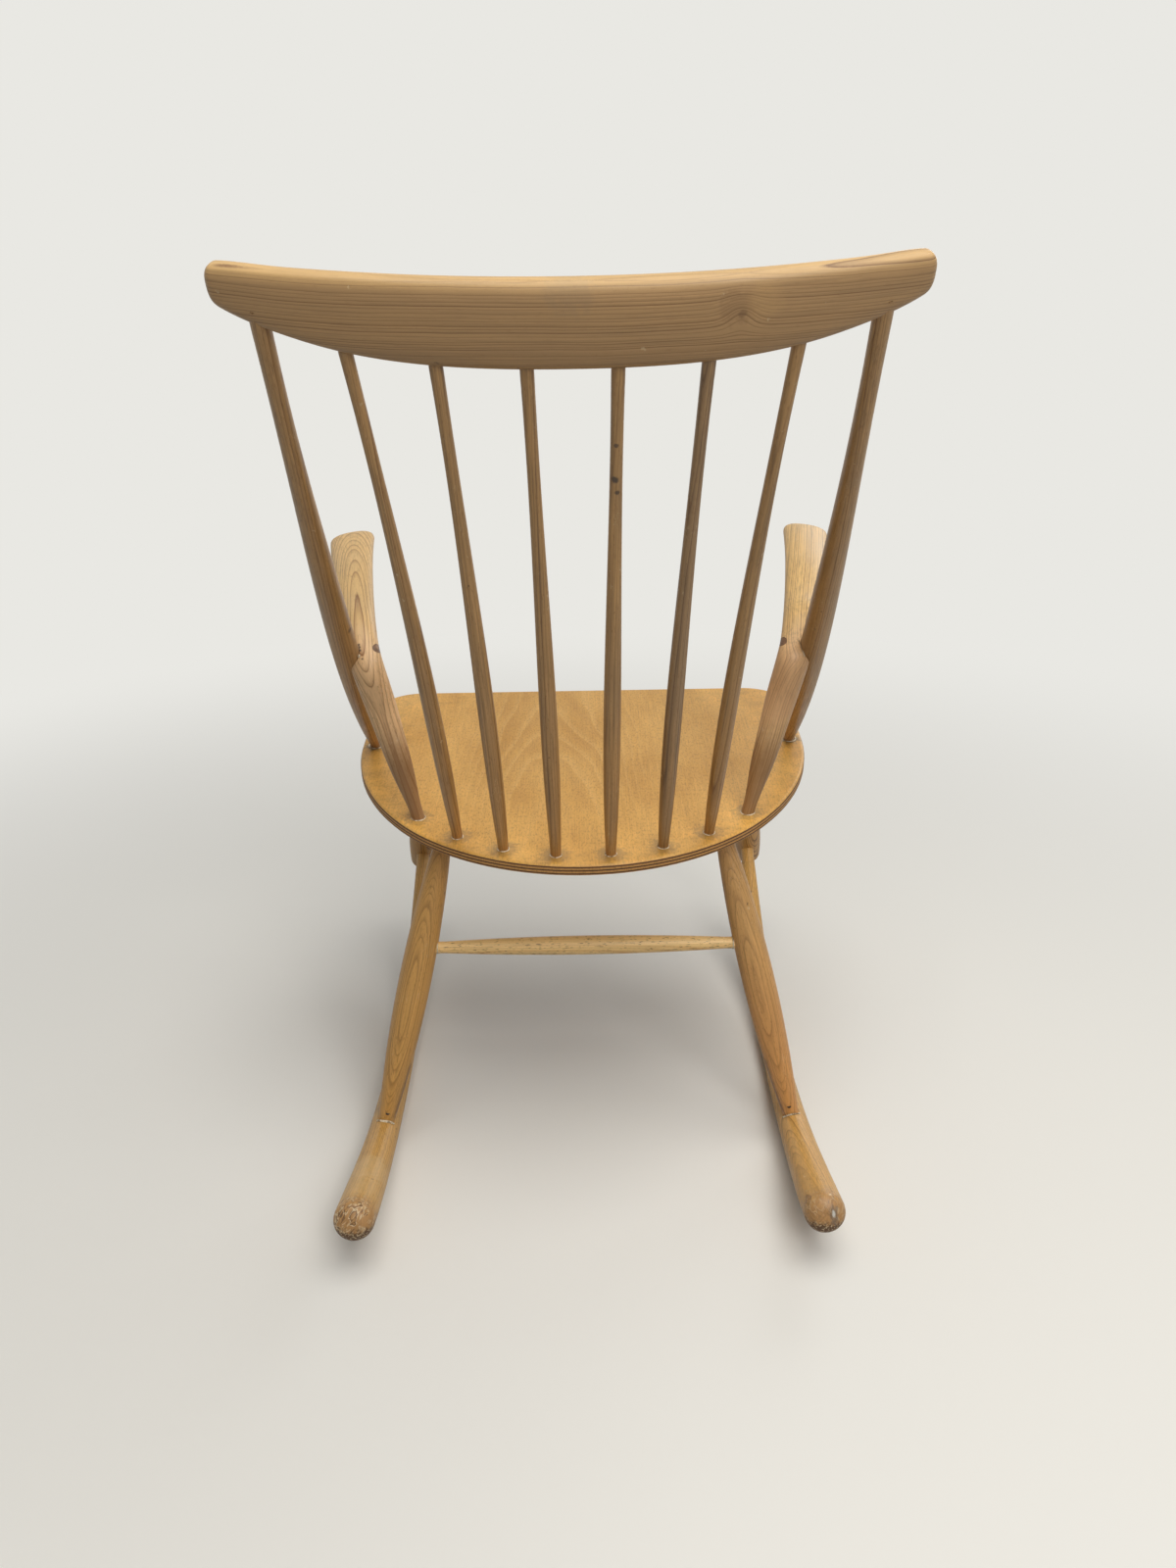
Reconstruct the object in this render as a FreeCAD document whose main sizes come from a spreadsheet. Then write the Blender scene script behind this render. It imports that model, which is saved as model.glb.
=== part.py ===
import FreeCAD, Part
import math
import os
import Sketcher
from FreeCAD import Placement, Rotation, Vector

# A spindle-back rocking chair: pressed ply seat, turned sticks, bent crest, carved arms, round runners.
# The chair is laid out with X across it, Y from front to back and Z up from the floor.

# Driving dimensions in millimetres and degrees: name, value and what it measures
SIZES = [
    ("seat_width", 523, "seat, across its widest part"),
    ("seat_depth", 432, "seat, front edge to rear rim"),
    ("seat_thickness", 13, "seat ply"),
    ("seat_height", 405, "seat top over the floor, at the centre of the stick circle"),
    ("seat_slope", 6.6, "fall of the seat towards the back"),
    ("seat_corner", 55, "front corner radius in plan"),
    ("seat_edge_round", 3.5, "rounding of the seat edges"),
    ("seat_rear_tighter", 12, "rear curve's radius short of half the width"),
    ("seat_side_slower", 43, "side curve's radius over half the width"),
    ("stick_inset", 33.5, "circle of stick holes inside half the seat's width"),
    ("rim_margin", 20, "seat rim outside the stick circle"),
    ("spindle_pitch", 14, "angle between spindle holes"),
    ("arm_hole_angle", 50.5, "angle from the middle to an arm hole"),
    ("post_hole_inset", 16, "post hole inside the seat's widest line"),
    ("post_hole_forward", 31.5, "post hole ahead of the stick circle's centre"),
    ("back_lean", 25.1, "lean of the back from upright"),
    ("back_length", 534, "seat to the crest's underside along the back"),
    ("crest_radius", 906, "bend of the crest rail"),
    ("crest_span", 513, "crest rail, tip to tip along its bend"),
    ("crest_depth", 64, "crest rail, top to bottom at the middle"),
    ("crest_tip_depth", 27.5, "crest rail, top to bottom at a tip"),
    ("crest_thickness", 25, "crest rail, front to back at the middle"),
    ("crest_tip_thickness", 19, "crest rail, front to back at a tip"),
    ("crest_tip_round", 9, "rounding of a crest tip"),
    ("socket_pitch", 64.9, "spindle sockets along the crest"),
    ("post_socket", 223, "post socket from the middle of the crest"),
    ("spindle_foot", 11, "spindle at the seat"),
    ("spindle_belly", 16, "spindle at its thickest"),
    ("spindle_middle", 12.3, "spindle between the belly and the crest"),
    ("spindle_top", 10.3, "spindle at the crest"),
    ("spindle_belly_height", 140, "seat to the spindle's belly"),
    ("spindle_bow", 4.5, "bow of a spindle towards the middle of the seat"),
    ("post_foot", 12.5, "post at the seat"),
    ("post_belly", 27, "post at its thickest"),
    ("post_middle", 19.6, "post between the belly and the crest"),
    ("post_top", 14.6, "post at the crest"),
    ("post_belly_height", 225, "seat to the post's belly"),
    ("post_bow", 17, "bow of a post towards the back"),
    ("stick_neck", 9, "straight neck of a stick beside its hole"),
    ("seat_tenon", 10, "stick in the seat"),
    ("crest_tenon", 14, "stick in the crest"),
    ("glue_gap", 0.15, "room for glue all round a tenon"),
    ("end_relief", 0.5, "room past the end of a tenon"),
    ("arm_foot", 14, "arm at the seat"),
    ("arm_lap_height", 234, "seat to the lap joint along the post"),
    ("arm_lap_offset", 17.5, "arm's middle inside the post's middle at the lap"),
    ("arm_lap_width", 34, "arm across the lap"),
    ("arm_lap_depth", 25, "arm front to back at the lap"),
    ("arm_tip_width", 54, "arm across its paddle"),
    ("arm_tip_depth", 18, "arm paddle, top to bottom"),
    ("arm_tip_outset", 10.5, "middle of a paddle tip outside the seat's widest line"),
    ("arm_tip_forward", 140, "paddle tip ahead of the stick circle's centre"),
    ("arm_tip_height", 637, "paddle tip over the floor"),
    ("arm_rise_lead", 29, "arm going on in the stick's line past the lap"),
    ("arm_tip_lead", 94, "paddle running straight back from its tip"),
    ("arm_tip_toe", 12, "paddle turning in behind its tip"),
    ("arm_tip_dip", 4, "paddle falling behind its tip"),
    ("arm_cant", 8, "fall of the paddle towards its outer edge"),
    ("arm_tip_round", 26, "rounding of the paddle's end"),
    ("lap_gap", 0.3, "room round a post in the arm's notch"),
    ("arm_peg_width", 10, "peg through the lap joint"),
    ("arm_peg_rise", 10.5, "peg's inner end over the lap's middle"),
    ("rocker_radius", 1200, "sweep of the runner's underside"),
    ("nose_lift", 92, "rise of the runner's nose over that sweep, at the front leg"),
    ("rocker_touch", 78, "floor contact behind the stick circle's centre"),
    ("runner_rear", 327, "runner behind the floor contact"),
    ("runner_front", 381, "front leg joint ahead of the floor contact"),
    ("runner_rear_inset", 29.5, "runner's rear end inside the seat's widest line"),
    ("runner_front_inset", 26.5, "runner's front end inside the seat's widest line"),
    ("runner_tip", 41, "runner at its rear end"),
    ("runner_club", 38.5, "runner between the rear leg and its rear end"),
    ("runner_heel", 34, "runner under the rear leg"),
    ("runner_sole", 31, "runner at the floor contact"),
    ("runner_waist", 28.7, "runner a quarter of the way to the front leg"),
    ("runner_middle", 26, "runner half-way to the front leg"),
    ("runner_nose", 18, "runner at the front leg"),
    ("runner_tip_round", 15, "rounding of the runner's rear end"),
    ("runner_tenon", 26, "runner in the front leg"),
    ("rear_leg_inset", 114.5, "rear leg at the seat inside the seat's widest line"),
    ("rear_leg_back", 130, "rear leg at the seat behind the stick circle's centre"),
    ("rear_leg_foot_back", 115, "rear leg's foot behind the floor contact"),
    ("rear_leg_top", 20, "rear leg at its bearer"),
    ("rear_leg_belly", 36, "rear leg at its thickest"),
    ("rear_leg_foot", 18, "rear leg at the runner"),
    ("rear_leg_tenon", 12, "tenon of the rear leg in the runner"),
    ("rear_leg_tenon_length", 11, "rear leg in the runner"),
    ("foot_margin", 4, "flat in the runner outside the rear leg's foot"),
    ("foot_notch", 3, "depth of the flat cut for the rear leg in the runner"),
    ("front_leg_inset", 67.5, "front leg at the seat inside the seat's widest line"),
    ("front_leg_forward", 148, "front leg at the seat ahead of the stick circle's centre"),
    ("front_leg_top", 22, "front leg at its bearer"),
    ("front_leg_belly", 40, "front leg at the runner"),
    ("front_leg_middle", 34, "front leg at half length"),
    ("front_leg_foot", 32, "front leg at its lower end"),
    ("front_leg_below", 44, "front leg below the runner's middle"),
    ("front_leg_round", 9, "rounding of the front leg's lower end"),
    ("leg_neck", 12, "straight neck of a leg below its bearer"),
    ("leg_stop", 6, "bearer left over the end of a leg"),
    ("stretcher_drop", 126, "bearer to the stretcher along the rear leg"),
    ("stretcher_neck", 9, "straight neck of the stretcher beside a leg"),
    ("stretcher_end", 13, "stretcher at a leg"),
    ("stretcher_belly", 21, "stretcher at its middle"),
    ("stretcher_tenon", 5, "stretcher end short of the leg's middle"),
    ("bearer_thickness", 20, "bearer under the seat, top to bottom"),
    ("bearer_width", 38, "bearer, front to back"),
    ("bearer_end", 22, "bearer past the middle of a leg"),
    ("bearer_round", 6, "rounding of a bearer's corners"),
    ("screw_shank", 4, "bearer screw shank"),
    ("screw_head", 8, "bearer screw head"),
    ("screw_length", 28, "bearer screw, end to end"),
    ("screw_step", 58, "bearer screws along the bearer"),
    ("fastener_gap", 0.05, "room round a screw or nail"),
    ("nail_shank", 2.5, "nail through a rear leg's foot"),
    ("nail_head", 4.5, "nail head"),
    ("nail_head_depth", 1.25, "nail head, top to bottom"),
    ("nail_length", 32, "nail, end to end"),
    ("nail_mouth", 10, "nail head from the leg's middle line"),
    ("nail_height", 13, "nail over the runner's flat"),
    ("nail_angle", 40, "nail from the leg's line"),
]

SPINDLES = 6
SCREWS_PER_BEARER = 4
SIDES = (("left", 1), ("right", -1))
ACROSS = Vector(1, 0, 0)
FORWARD = Vector(0, -1, 0)
UPWARD = Vector(0, 0, 1)

# Shapes of the carved pieces: how square an outline is, how fast it changes, where it is taken
SECTION_POINTS = 24
OVAL = 2
PADDLE_SQUARENESS = 2.5
CREST_SQUARENESS = 3
CREST_SWEEP = 3.3
CREST_THINNING = 2
PADDLE_GROWTH = 1.4
NOSE_SWEEP = 2.5
END_SQUARENESS = 2.6
END_STEPS = (0.45, 0.75, 0.92, 0.985)
CREST_STEPS = (0.25, 0.5, 0.7, 0.86, 1)
STICK_STEPS = (0.25, 0.5, 0.75)
PADDLE_STEPS = (0, 0.2, 0.4, 0.6, 0.8, 1)
PATH_STEPS = 20
PATH_NUDGE = 0.005
NEAR = 0.01

doc = FreeCAD.newDocument("RockingChair")
sheet = doc.addObject("Spreadsheet::Sheet", "Sizes")
for row, (name, value, note) in enumerate(SIZES, 1):
    sheet.set("A%d" % row, note)
    sheet.set("B%d" % row, str(value))
    sheet.setAlias("B%d" % row, name)
doc.recompute()

pieces = {}


def size(name):
    return float(sheet.get(name))


def mix(first, last, share):
    return first + (last - first) * share


# Frames of the chair

seat_half = size("seat_width") / 2
stick_circle = seat_half - size("stick_inset")
seat_place = Placement(Vector(0, 0, size("seat_height")), Rotation(ACROSS, -size("seat_slope")))
seat_down = seat_place.Rotation.multVec(UPWARD * -1)


def on_seat(x, y, depth=0):
    return seat_place.multVec(Vector(x, y, -depth))


def stick_hole(angle):
    turn = math.radians(angle)
    return on_seat(stick_circle * math.sin(turn), stick_circle * math.cos(turn))


lean = math.radians(size("back_lean"))
back_up = Vector(0, math.sin(lean), math.cos(lean))
back_front = Vector(0, -math.cos(lean), math.sin(lean))
back_foot = stick_hole(0)
crest_half = size("crest_span") / 2


def crest_frame(arc):
    turn = arc / size("crest_radius")
    bend = size("crest_radius") * (1 - math.cos(turn))
    place = back_foot + ACROSS * (size("crest_radius") * math.sin(turn)) + back_front * bend
    inward = back_front * math.cos(turn) - ACROSS * math.sin(turn)
    return place, inward


def crest_underside(arc):
    lift = size("crest_depth") - size("crest_tip_depth")
    return size("back_length") + lift * abs(arc / crest_half) ** CREST_SWEEP


def crest_socket(arc):
    place, inward = crest_frame(arc)
    return place + back_up * crest_underside(arc)


def axis_place(start, end, side):
    # local Z runs from start to end, local X leans towards side
    z = (end - start).normalize()
    y = z.cross(side).normalize()
    return Placement(start, Rotation(y.cross(z), y, z, "ZXY"))


def lifted(place, distance):
    return place * Placement(UPWARD * distance, Rotation())


# Makers of round sticks, holes and cuts

def base_plane(body):
    return next(plane for plane in body.Origin.OriginFeatures if plane.Role == "XY_Plane")


def round_section(body, name, place, width):
    sketch = body.newObject("Sketcher::SketchObject", name)
    sketch.AttachmentSupport = [(base_plane(body), "")]
    sketch.MapMode = "FlatFace"
    sketch.AttachmentOffset = place
    sketch.addGeometry(Part.Circle(Vector(0, 0, 0), UPWARD, 5), False)
    sketch.addConstraint(Sketcher.Constraint("Coincident", 0, 3, -1, 1))
    index = sketch.addConstraint(Sketcher.Constraint("Diameter", 0, 10))
    sketch.renameConstraint(index, "width")
    sketch.setExpression("Constraints.width", width)
    return sketch


def pad(body, name, sketch, length, downward):
    block = body.newObject("PartDesign::Pad", name)
    block.Profile = sketch
    block.setExpression("Length", length)
    block.Reversed = downward


def swelling(name, sections):
    body = doc.addObject("PartDesign::Body", name)
    sketches = []
    for index, (place, width) in enumerate(sections):
        sketches.append(round_section(body, "%s_section_%d" % (name, index), place, width))
    loft = body.newObject("PartDesign::AdditiveLoft", name + "_swell")
    loft.Profile = sketches[0]
    loft.Sections = sketches[1:]
    return body, sketches


def on_plane(edge, place):
    normal = place.Rotation.multVec(UPWARD)
    return all(abs((point - place.Base).dot(normal)) < NEAR for point in edge.discretize(5))


def round_end(body, name, chosen, radius):
    # chosen picks the rims to be rounded from the finished solid's edges
    last = body.Tip
    names = ["Edge%d" % number for number, edge in enumerate(last.Shape.Edges, 1) if chosen(edge)]
    rounding = body.newObject("PartDesign::Fillet", name)
    rounding.Base = (last, names)
    rounding.setExpression("Radius", radius)


def rod(name, place, width, length, gap="0"):
    stock = doc.addObject("Part::Cylinder", name)
    stock.setExpression("Radius", "(%s) / 2 + %s" % (width, gap))
    stock.setExpression("Height", length)
    stock.Placement = place
    return stock


def bore(name, place, width, length):
    return rod(name, place, width, length, "Sizes.glue_gap")


def cut(label, blank, tools):
    tool = tools[0]
    if len(tools) > 1:
        tool = doc.addObject("Part::MultiFuse", label + "_tools")
        tool.Shapes = tools
    piece = doc.addObject("Part::Cut", label)
    piece.Base = blank
    piece.Tool = tool
    pieces[label] = piece


def group(label, members):
    pieces[label] = doc.addObject("Part::Compound", label)
    pieces[label].Links = members


# Sticks from the seat to the crest

def bowed_stations(length, bow, distances):
    places = []
    for distance in distances:
        share = distance / length
        offset = 4 * bow * share * (1 - share)
        slope = math.degrees(math.atan(4 * bow * (1 - 2 * share) / length))
        places.append(Placement(Vector(offset, 0, distance), Rotation(Vector(0, 1, 0), slope)))
    return places


def back_stick(label, kind, foot, top, bow_side):
    neck = size("stick_neck")
    length = (top - foot).Length
    belly = size(kind + "_belly_height")
    places = bowed_stations(length, size(kind + "_bow"), [neck, belly, (belly + length) / 2, length - neck])
    widths = ["Sizes.%s_%s" % (kind, part) for part in ("foot", "belly", "middle", "top")]
    body, sketches = swelling(label + "_turning", list(zip(places, widths)))
    seat_length = "Sizes.stick_neck + Sizes.seat_tenon"
    crest_length = "Sizes.stick_neck + Sizes.crest_tenon"
    pad(body, label + "_seat_tenon", sketches[0], seat_length, True)
    pad(body, label + "_crest_tenon", sketches[3], crest_length, False)
    body.Placement = axis_place(foot, top, bow_side)
    foot_place = lifted(body.Placement * places[0], -neck - size("seat_tenon") - size("end_relief"))
    top_place = body.Placement * places[3]
    seat_bore = bore(label + "_seat_bore", foot_place, widths[0], seat_length + " + Sizes.end_relief")
    crest_bore = bore(label + "_crest_bore", top_place, widths[3], crest_length + " + Sizes.end_relief")
    return body, seat_bore, crest_bore


seat_bores = []
crest_bores = []
seat_middle = on_seat(0, 0)
for index in range(SPINDLES):
    label = "spindle_%d" % (index + 1)
    step = (SPINDLES - 1) / 2 - index
    hole = stick_hole(step * size("spindle_pitch"))
    socket = crest_socket(step * size("socket_pitch"))
    pieces[label], seat_bore, crest_bore = back_stick(label, "spindle", hole, socket, seat_middle - hole)
    seat_bores.append(seat_bore)
    crest_bores.append(crest_bore)

post_half_gap = seat_half - size("post_hole_inset")
posts = {}
post_lengths = {}
for side, sign in SIDES:
    hole = on_seat(sign * post_half_gap, -size("post_hole_forward"))
    socket = crest_socket(sign * size("post_socket"))
    posts[side], seat_bore, crest_bore = back_stick(side + "_post", "post", hole, socket, back_front * -1)
    post_lengths[side] = (socket - hole).Length
    seat_bores.append(seat_bore)
    crest_bores.append(crest_bore)


# Carved pieces: lofts of soft rounded outlines

def soft_outline(centre, across, upward, width, depth, squareness):
    points = []
    for index in range(SECTION_POINTS):
        turn = 2 * math.pi * index / SECTION_POINTS
        x, y = math.cos(turn), math.sin(turn)
        reach = (abs(x) ** squareness + abs(y) ** squareness) ** (-1 / squareness)
        points.append(centre + across * (width / 2 * reach * x) + upward * (depth / 2 * reach * y))
    curve = Part.BSplineCurve()
    curve.interpolate(points, PeriodicFlag=True)
    return Part.Wire(curve.toShape())


def blunt(share):
    # how much of a section is left, going into a rounded end
    return (1 - max(share, 0) ** END_SQUARENESS) ** (1 / END_SQUARENESS)


def crest_outline(arc):
    place, inward = crest_frame(arc)
    top = size("back_length") + size("crest_depth")
    bottom = crest_underside(arc)
    left = blunt((abs(arc) - crest_half + size("crest_tip_round")) / size("crest_tip_round"))
    thinning = abs(arc / crest_half) ** CREST_THINNING
    thickness = mix(size("crest_thickness"), size("crest_tip_thickness"), thinning) * left
    middle = place + back_up * ((top + bottom) / 2)
    return soft_outline(middle, inward, back_up, thickness, (top - bottom) * left, CREST_SQUARENESS)


crest_steady = crest_half - size("crest_tip_round")
half_arcs = [crest_steady * share for share in CREST_STEPS]
half_arcs += [crest_steady + size("crest_tip_round") * share for share in END_STEPS]
crest_arcs = [-arc for arc in reversed(half_arcs)] + [0] + half_arcs
crest_blank = doc.addObject("Part::Feature", "crest_blank")
crest_blank.Shape = Part.makeLoft([crest_outline(arc) for arc in crest_arcs], True, False)
cut("crest_rail", crest_blank, crest_bores)


def bezier(ends, share):
    a, b, c, d = ends
    rest = 1 - share
    return a * rest ** 3 + b * (3 * rest ** 2 * share) + c * (3 * rest * share ** 2) + d * share ** 3


def arm_path(side, sign):
    station = bowed_stations(post_lengths[side], size("post_bow"), [size("arm_lap_height")])[0]
    crossing = posts[side].Placement * station
    lap = crossing.Base - ACROSS * (sign * size("arm_lap_offset"))
    foot = stick_hole(sign * size("arm_hole_angle"))
    rise = (lap - foot).normalize()
    tip_x = sign * (seat_half + size("arm_tip_outset"))
    tip = Vector(tip_x, -size("arm_tip_forward"), size("arm_tip_height"))
    bend = lap + rise * size("arm_rise_lead")
    ease = tip + Vector(-sign * size("arm_tip_toe"), size("arm_tip_lead"), -size("arm_tip_dip"))
    return foot, rise, (lap, bend, ease, tip), crossing


def paddle_station(ends, share, round_share):
    ahead = bezier(ends, min(share + PATH_NUDGE, 1))
    behind = bezier(ends, share - PATH_NUDGE)
    grow = share ** PADDLE_GROWTH
    left = blunt((share - 1 + round_share) / round_share)
    width = mix(size("arm_lap_width"), size("arm_tip_width"), grow) * left
    depth = mix(size("arm_lap_depth"), size("arm_tip_depth"), grow) * left
    return bezier(ends, share), (ahead - behind).normalize(), width, depth, share


def arm_stations(foot, rise, ends):
    length = (ends[0] - foot).Length
    stations = []
    for distance in (-size("seat_tenon"), 0, size("stick_neck")):
        stations.append((foot + rise * distance, rise, size("arm_foot"), size("arm_foot"), 0))
    for share in STICK_STEPS:
        swell = math.sin(share * math.pi / 2)
        width = mix(size("arm_foot"), size("arm_lap_width"), swell)
        depth = mix(size("arm_foot"), size("arm_lap_depth"), swell)
        stations.append((foot + rise * (length * share), rise, width, depth, 0))
    path = [bezier(ends, step / PATH_STEPS) for step in range(PATH_STEPS + 1)]
    path_length = sum((after - before).Length for before, after in zip(path, path[1:]))
    round_share = size("arm_tip_round") / path_length
    for share in PADDLE_STEPS:
        stations.append(paddle_station(ends, share * (1 - round_share), round_share))
    for share in END_STEPS:
        stations.append(paddle_station(ends, 1 - round_share * (1 - share), round_share))
    return stations


def arm_outline(sign, centre, along, width, depth, flatness):
    cant = math.radians(size("arm_cant")) * flatness
    level = Vector(sign * math.cos(cant), 0, -math.sin(cant))
    over = along.cross(level).normalize() * -sign
    squareness = mix(OVAL, PADDLE_SQUARENESS, flatness)
    return soft_outline(centre, over.cross(along).normalize(), over, width, depth, squareness)


arm_pegs = []
for side, sign in SIDES:
    foot, rise, ends, crossing = arm_path(side, sign)
    lap = ends[0]
    outlines = [arm_outline(sign, *station) for station in arm_stations(foot, rise, ends)]
    blank = doc.addObject("Part::Feature", side + "_arm_blank")
    blank.Shape = Part.makeLoft(outlines, True, False)
    inner = lap - ACROSS * (sign * size("arm_lap_width")) + UPWARD * (2 * size("arm_peg_rise"))
    peg_place = axis_place(inner, lap, UPWARD)
    peg_length = "2 * Sizes.arm_lap_width"
    peg_hole = bore(side + "_peg_hole", peg_place, "Sizes.arm_peg_width", peg_length)
    peg = doc.addObject("Part::Common", side + "_arm_peg")
    peg.Base = rod(side + "_peg_stock", peg_place, "Sizes.arm_peg_width", peg_length)
    peg.Tool = blank
    arm_pegs.append(peg)
    groove_place = lifted(crossing, -size("arm_lap_height") / 2)
    groove_length = "Sizes.arm_lap_height"
    groove = rod(side + "_lap_groove", groove_place, "Sizes.post_belly", groove_length, "Sizes.lap_gap")
    cut(side + "_arm", blank, [groove, peg_hole])
    post_hole = doc.addObject("Part::Common", side + "_post_peg_hole")
    post_hole.Base = peg_hole
    post_hole.Tool = blank
    cut(side + "_post", posts[side], [post_hole])
    hole_place = lifted(axis_place(foot, lap, ACROSS), -size("seat_tenon") - size("end_relief"))
    hole_length = "Sizes.seat_tenon + Sizes.end_relief + Sizes.stick_neck"
    seat_bores.append(bore(side + "_arm_seat_bore", hole_place, "Sizes.arm_foot", hole_length))
group("arm_pegs", arm_pegs)


# Runner line: one sweep, with a nose that lifts away from it

def runner_station(sign, distance, width):
    # distance is level, from the floor contact towards the back
    rear = Vector(sign * (seat_half - size("runner_rear_inset")), size("runner_rear"), 0)
    front = Vector(sign * (seat_half - size("runner_front_inset")), -size("runner_front"), 0)
    along = (rear - front).normalize()
    touch = rear - along * (rear.y / along.y) + Vector(0, size("rocker_touch"), 0)
    turn = math.asin(distance / size("rocker_radius"))
    height = size("rocker_radius") * (1 - math.cos(turn))
    ahead = max(-distance / size("runner_front"), 0)
    height += size("nose_lift") * ahead ** NOSE_SWEEP
    slope = math.tan(turn) - NOSE_SWEEP * size("nose_lift") / size("runner_front") * ahead ** (NOSE_SWEEP - 1)
    forward = (along + UPWARD * slope).normalize()
    upright = (UPWARD - along * slope).normalize()
    centre = touch + along * distance + UPWARD * height + upright * (size(width) / 2)
    return axis_place(centre, centre + forward, UPWARD)


# Legs, let into bearers under the seat

def leg_line(sign, inset, y, foot):
    head = on_seat(sign * (seat_half - size(inset)), y, size("seat_thickness"))
    line = axis_place(head, foot, FORWARD)
    start = size("bearer_thickness") / line.Rotation.multVec(UPWARD).dot(seat_down)
    return line, start, (foot - head).Length


def turned_leg(label, line, start, distances, widths):
    places = [Placement(UPWARD * distance, Rotation()) for distance in distances]
    body, sketches = swelling(label + "_turning", list(zip(places, widths)))
    tenon = "Sizes.bearer_thickness - Sizes.leg_stop"
    pad(body, label + "_head", sketches[0], "Sizes.leg_neck + " + tenon, True)
    body.Placement = line
    hole_end = start - size("bearer_thickness") + size("leg_stop") - size("end_relief")
    hole_length = "Sizes.end_relief + Sizes.leg_neck + " + tenon
    head_bore = bore(label + "_head_bore", lifted(line, hole_end), widths[0], hole_length)
    return body, places, head_bore


rear_y = size("rear_leg_back")
front_y = -size("front_leg_forward")
bearer_bores = {"rear": [], "front": []}
rear_legs = {}
rear_leg_starts = {}
rear_leg_cuts = {}
runner_cuts = {}
nails = []
for side, sign in SIDES:
    label = side + "_rear_leg"
    foot = runner_station(sign, size("rear_leg_foot_back"), "runner_heel").Base
    line, start, reach = leg_line(sign, "rear_leg_inset", rear_y, foot)
    end = reach - size("runner_heel") / 2 + size("foot_notch")
    distances = [start + size("leg_neck"), (start + end) / 2, end]
    widths = ["Sizes.rear_leg_top", "Sizes.rear_leg_belly", "Sizes.rear_leg_foot"]
    body, places, head_bore = turned_leg(label, line, start, distances, widths)
    toe = round_section(body, label + "_toe", places[2], "Sizes.rear_leg_tenon")
    pad(body, label + "_toe_pad", toe, "Sizes.rear_leg_tenon_length", False)
    bearer_bores["rear"].append(head_bore)
    rear_legs[side] = body
    rear_leg_starts[side] = lifted(line, start)
    toe_place = line * places[2]
    flat_place = lifted(toe_place, -size("runner_heel"))
    flat_depth = "Sizes.runner_heel"
    flat = rod(side + "_foot_flat", flat_place, "Sizes.rear_leg_foot", flat_depth, "Sizes.foot_margin")
    toe_length = "Sizes.rear_leg_tenon_length + Sizes.end_relief"
    toe_hole = bore(side + "_toe_bore", toe_place, "Sizes.rear_leg_tenon", toe_length)
    nail_tilt = Rotation(Vector(0, 1, 0), size("nail_angle"))
    nail_mouth = Vector(-size("nail_mouth"), 0, end - size("nail_height"))
    nail_place = line * Placement(nail_mouth, nail_tilt)
    nail = doc.addObject("Part::Fuse", side + "_foot_nail")
    nail.Base = rod(side + "_nail_stem", nail_place, "Sizes.nail_shank", "Sizes.nail_length")
    nail.Tool = rod(side + "_nail_cap", nail_place, "Sizes.nail_head", "Sizes.nail_head_depth")
    nails.append(nail)
    gap = "Sizes.fastener_gap"
    stem_length = "Sizes.nail_length + Sizes.end_relief"
    stem_hole = rod(side + "_nail_hole", nail_place, "Sizes.nail_shank", stem_length, gap)
    cap_depth = "Sizes.nail_head_depth + Sizes.fastener_gap"
    cap_hole = rod(side + "_nail_sink", nail_place, "Sizes.nail_head", cap_depth, gap)
    rear_leg_cuts[side] = [stem_hole, cap_hole]
    runner_cuts[side] = [flat, toe_hole, stem_hole]
group("foot_nails", nails)


# Stretcher between the rear legs

right_end = lifted(rear_leg_starts["right"], size("stretcher_drop")).Base
left_end = lifted(rear_leg_starts["left"], size("stretcher_drop")).Base
stretcher_line = axis_place(right_end, left_end, UPWARD)
stretcher_length = (left_end - right_end).Length
neck_end = size("rear_leg_belly") / 2 + size("stretcher_neck")
stretcher_stations = [(neck_end, "end"), (stretcher_length / 2, "belly")]
stretcher_stations.append((stretcher_length - neck_end, "end"))
stretcher_sections = []
for distance, width in stretcher_stations:
    stretcher_sections.append((Placement(UPWARD * distance, Rotation()), "Sizes.stretcher_" + width))
stretcher, sketches = swelling("rear_stretcher_turning", stretcher_sections)
tenon_length = "Sizes.rear_leg_belly / 2 + Sizes.stretcher_neck - Sizes.stretcher_tenon"
pad(stretcher, "stretcher_right_tenon", sketches[0], tenon_length, True)
pad(stretcher, "stretcher_left_tenon", sketches[2], tenon_length, False)
stretcher.Placement = stretcher_line
pieces["rear_stretcher"] = stretcher
hole_starts = {"right": size("stretcher_tenon") - size("end_relief"), "left": stretcher_length - neck_end}
for side, sign in SIDES:
    hole_place = lifted(stretcher_line, hole_starts[side])
    hole_length = tenon_length + " + Sizes.end_relief"
    hole = bore(side + "_stretcher_bore", hole_place, "Sizes.stretcher_end", hole_length)
    cut(side + "_rear_leg", rear_legs[side], [hole] + rear_leg_cuts[side])


# Front legs and runners

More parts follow.
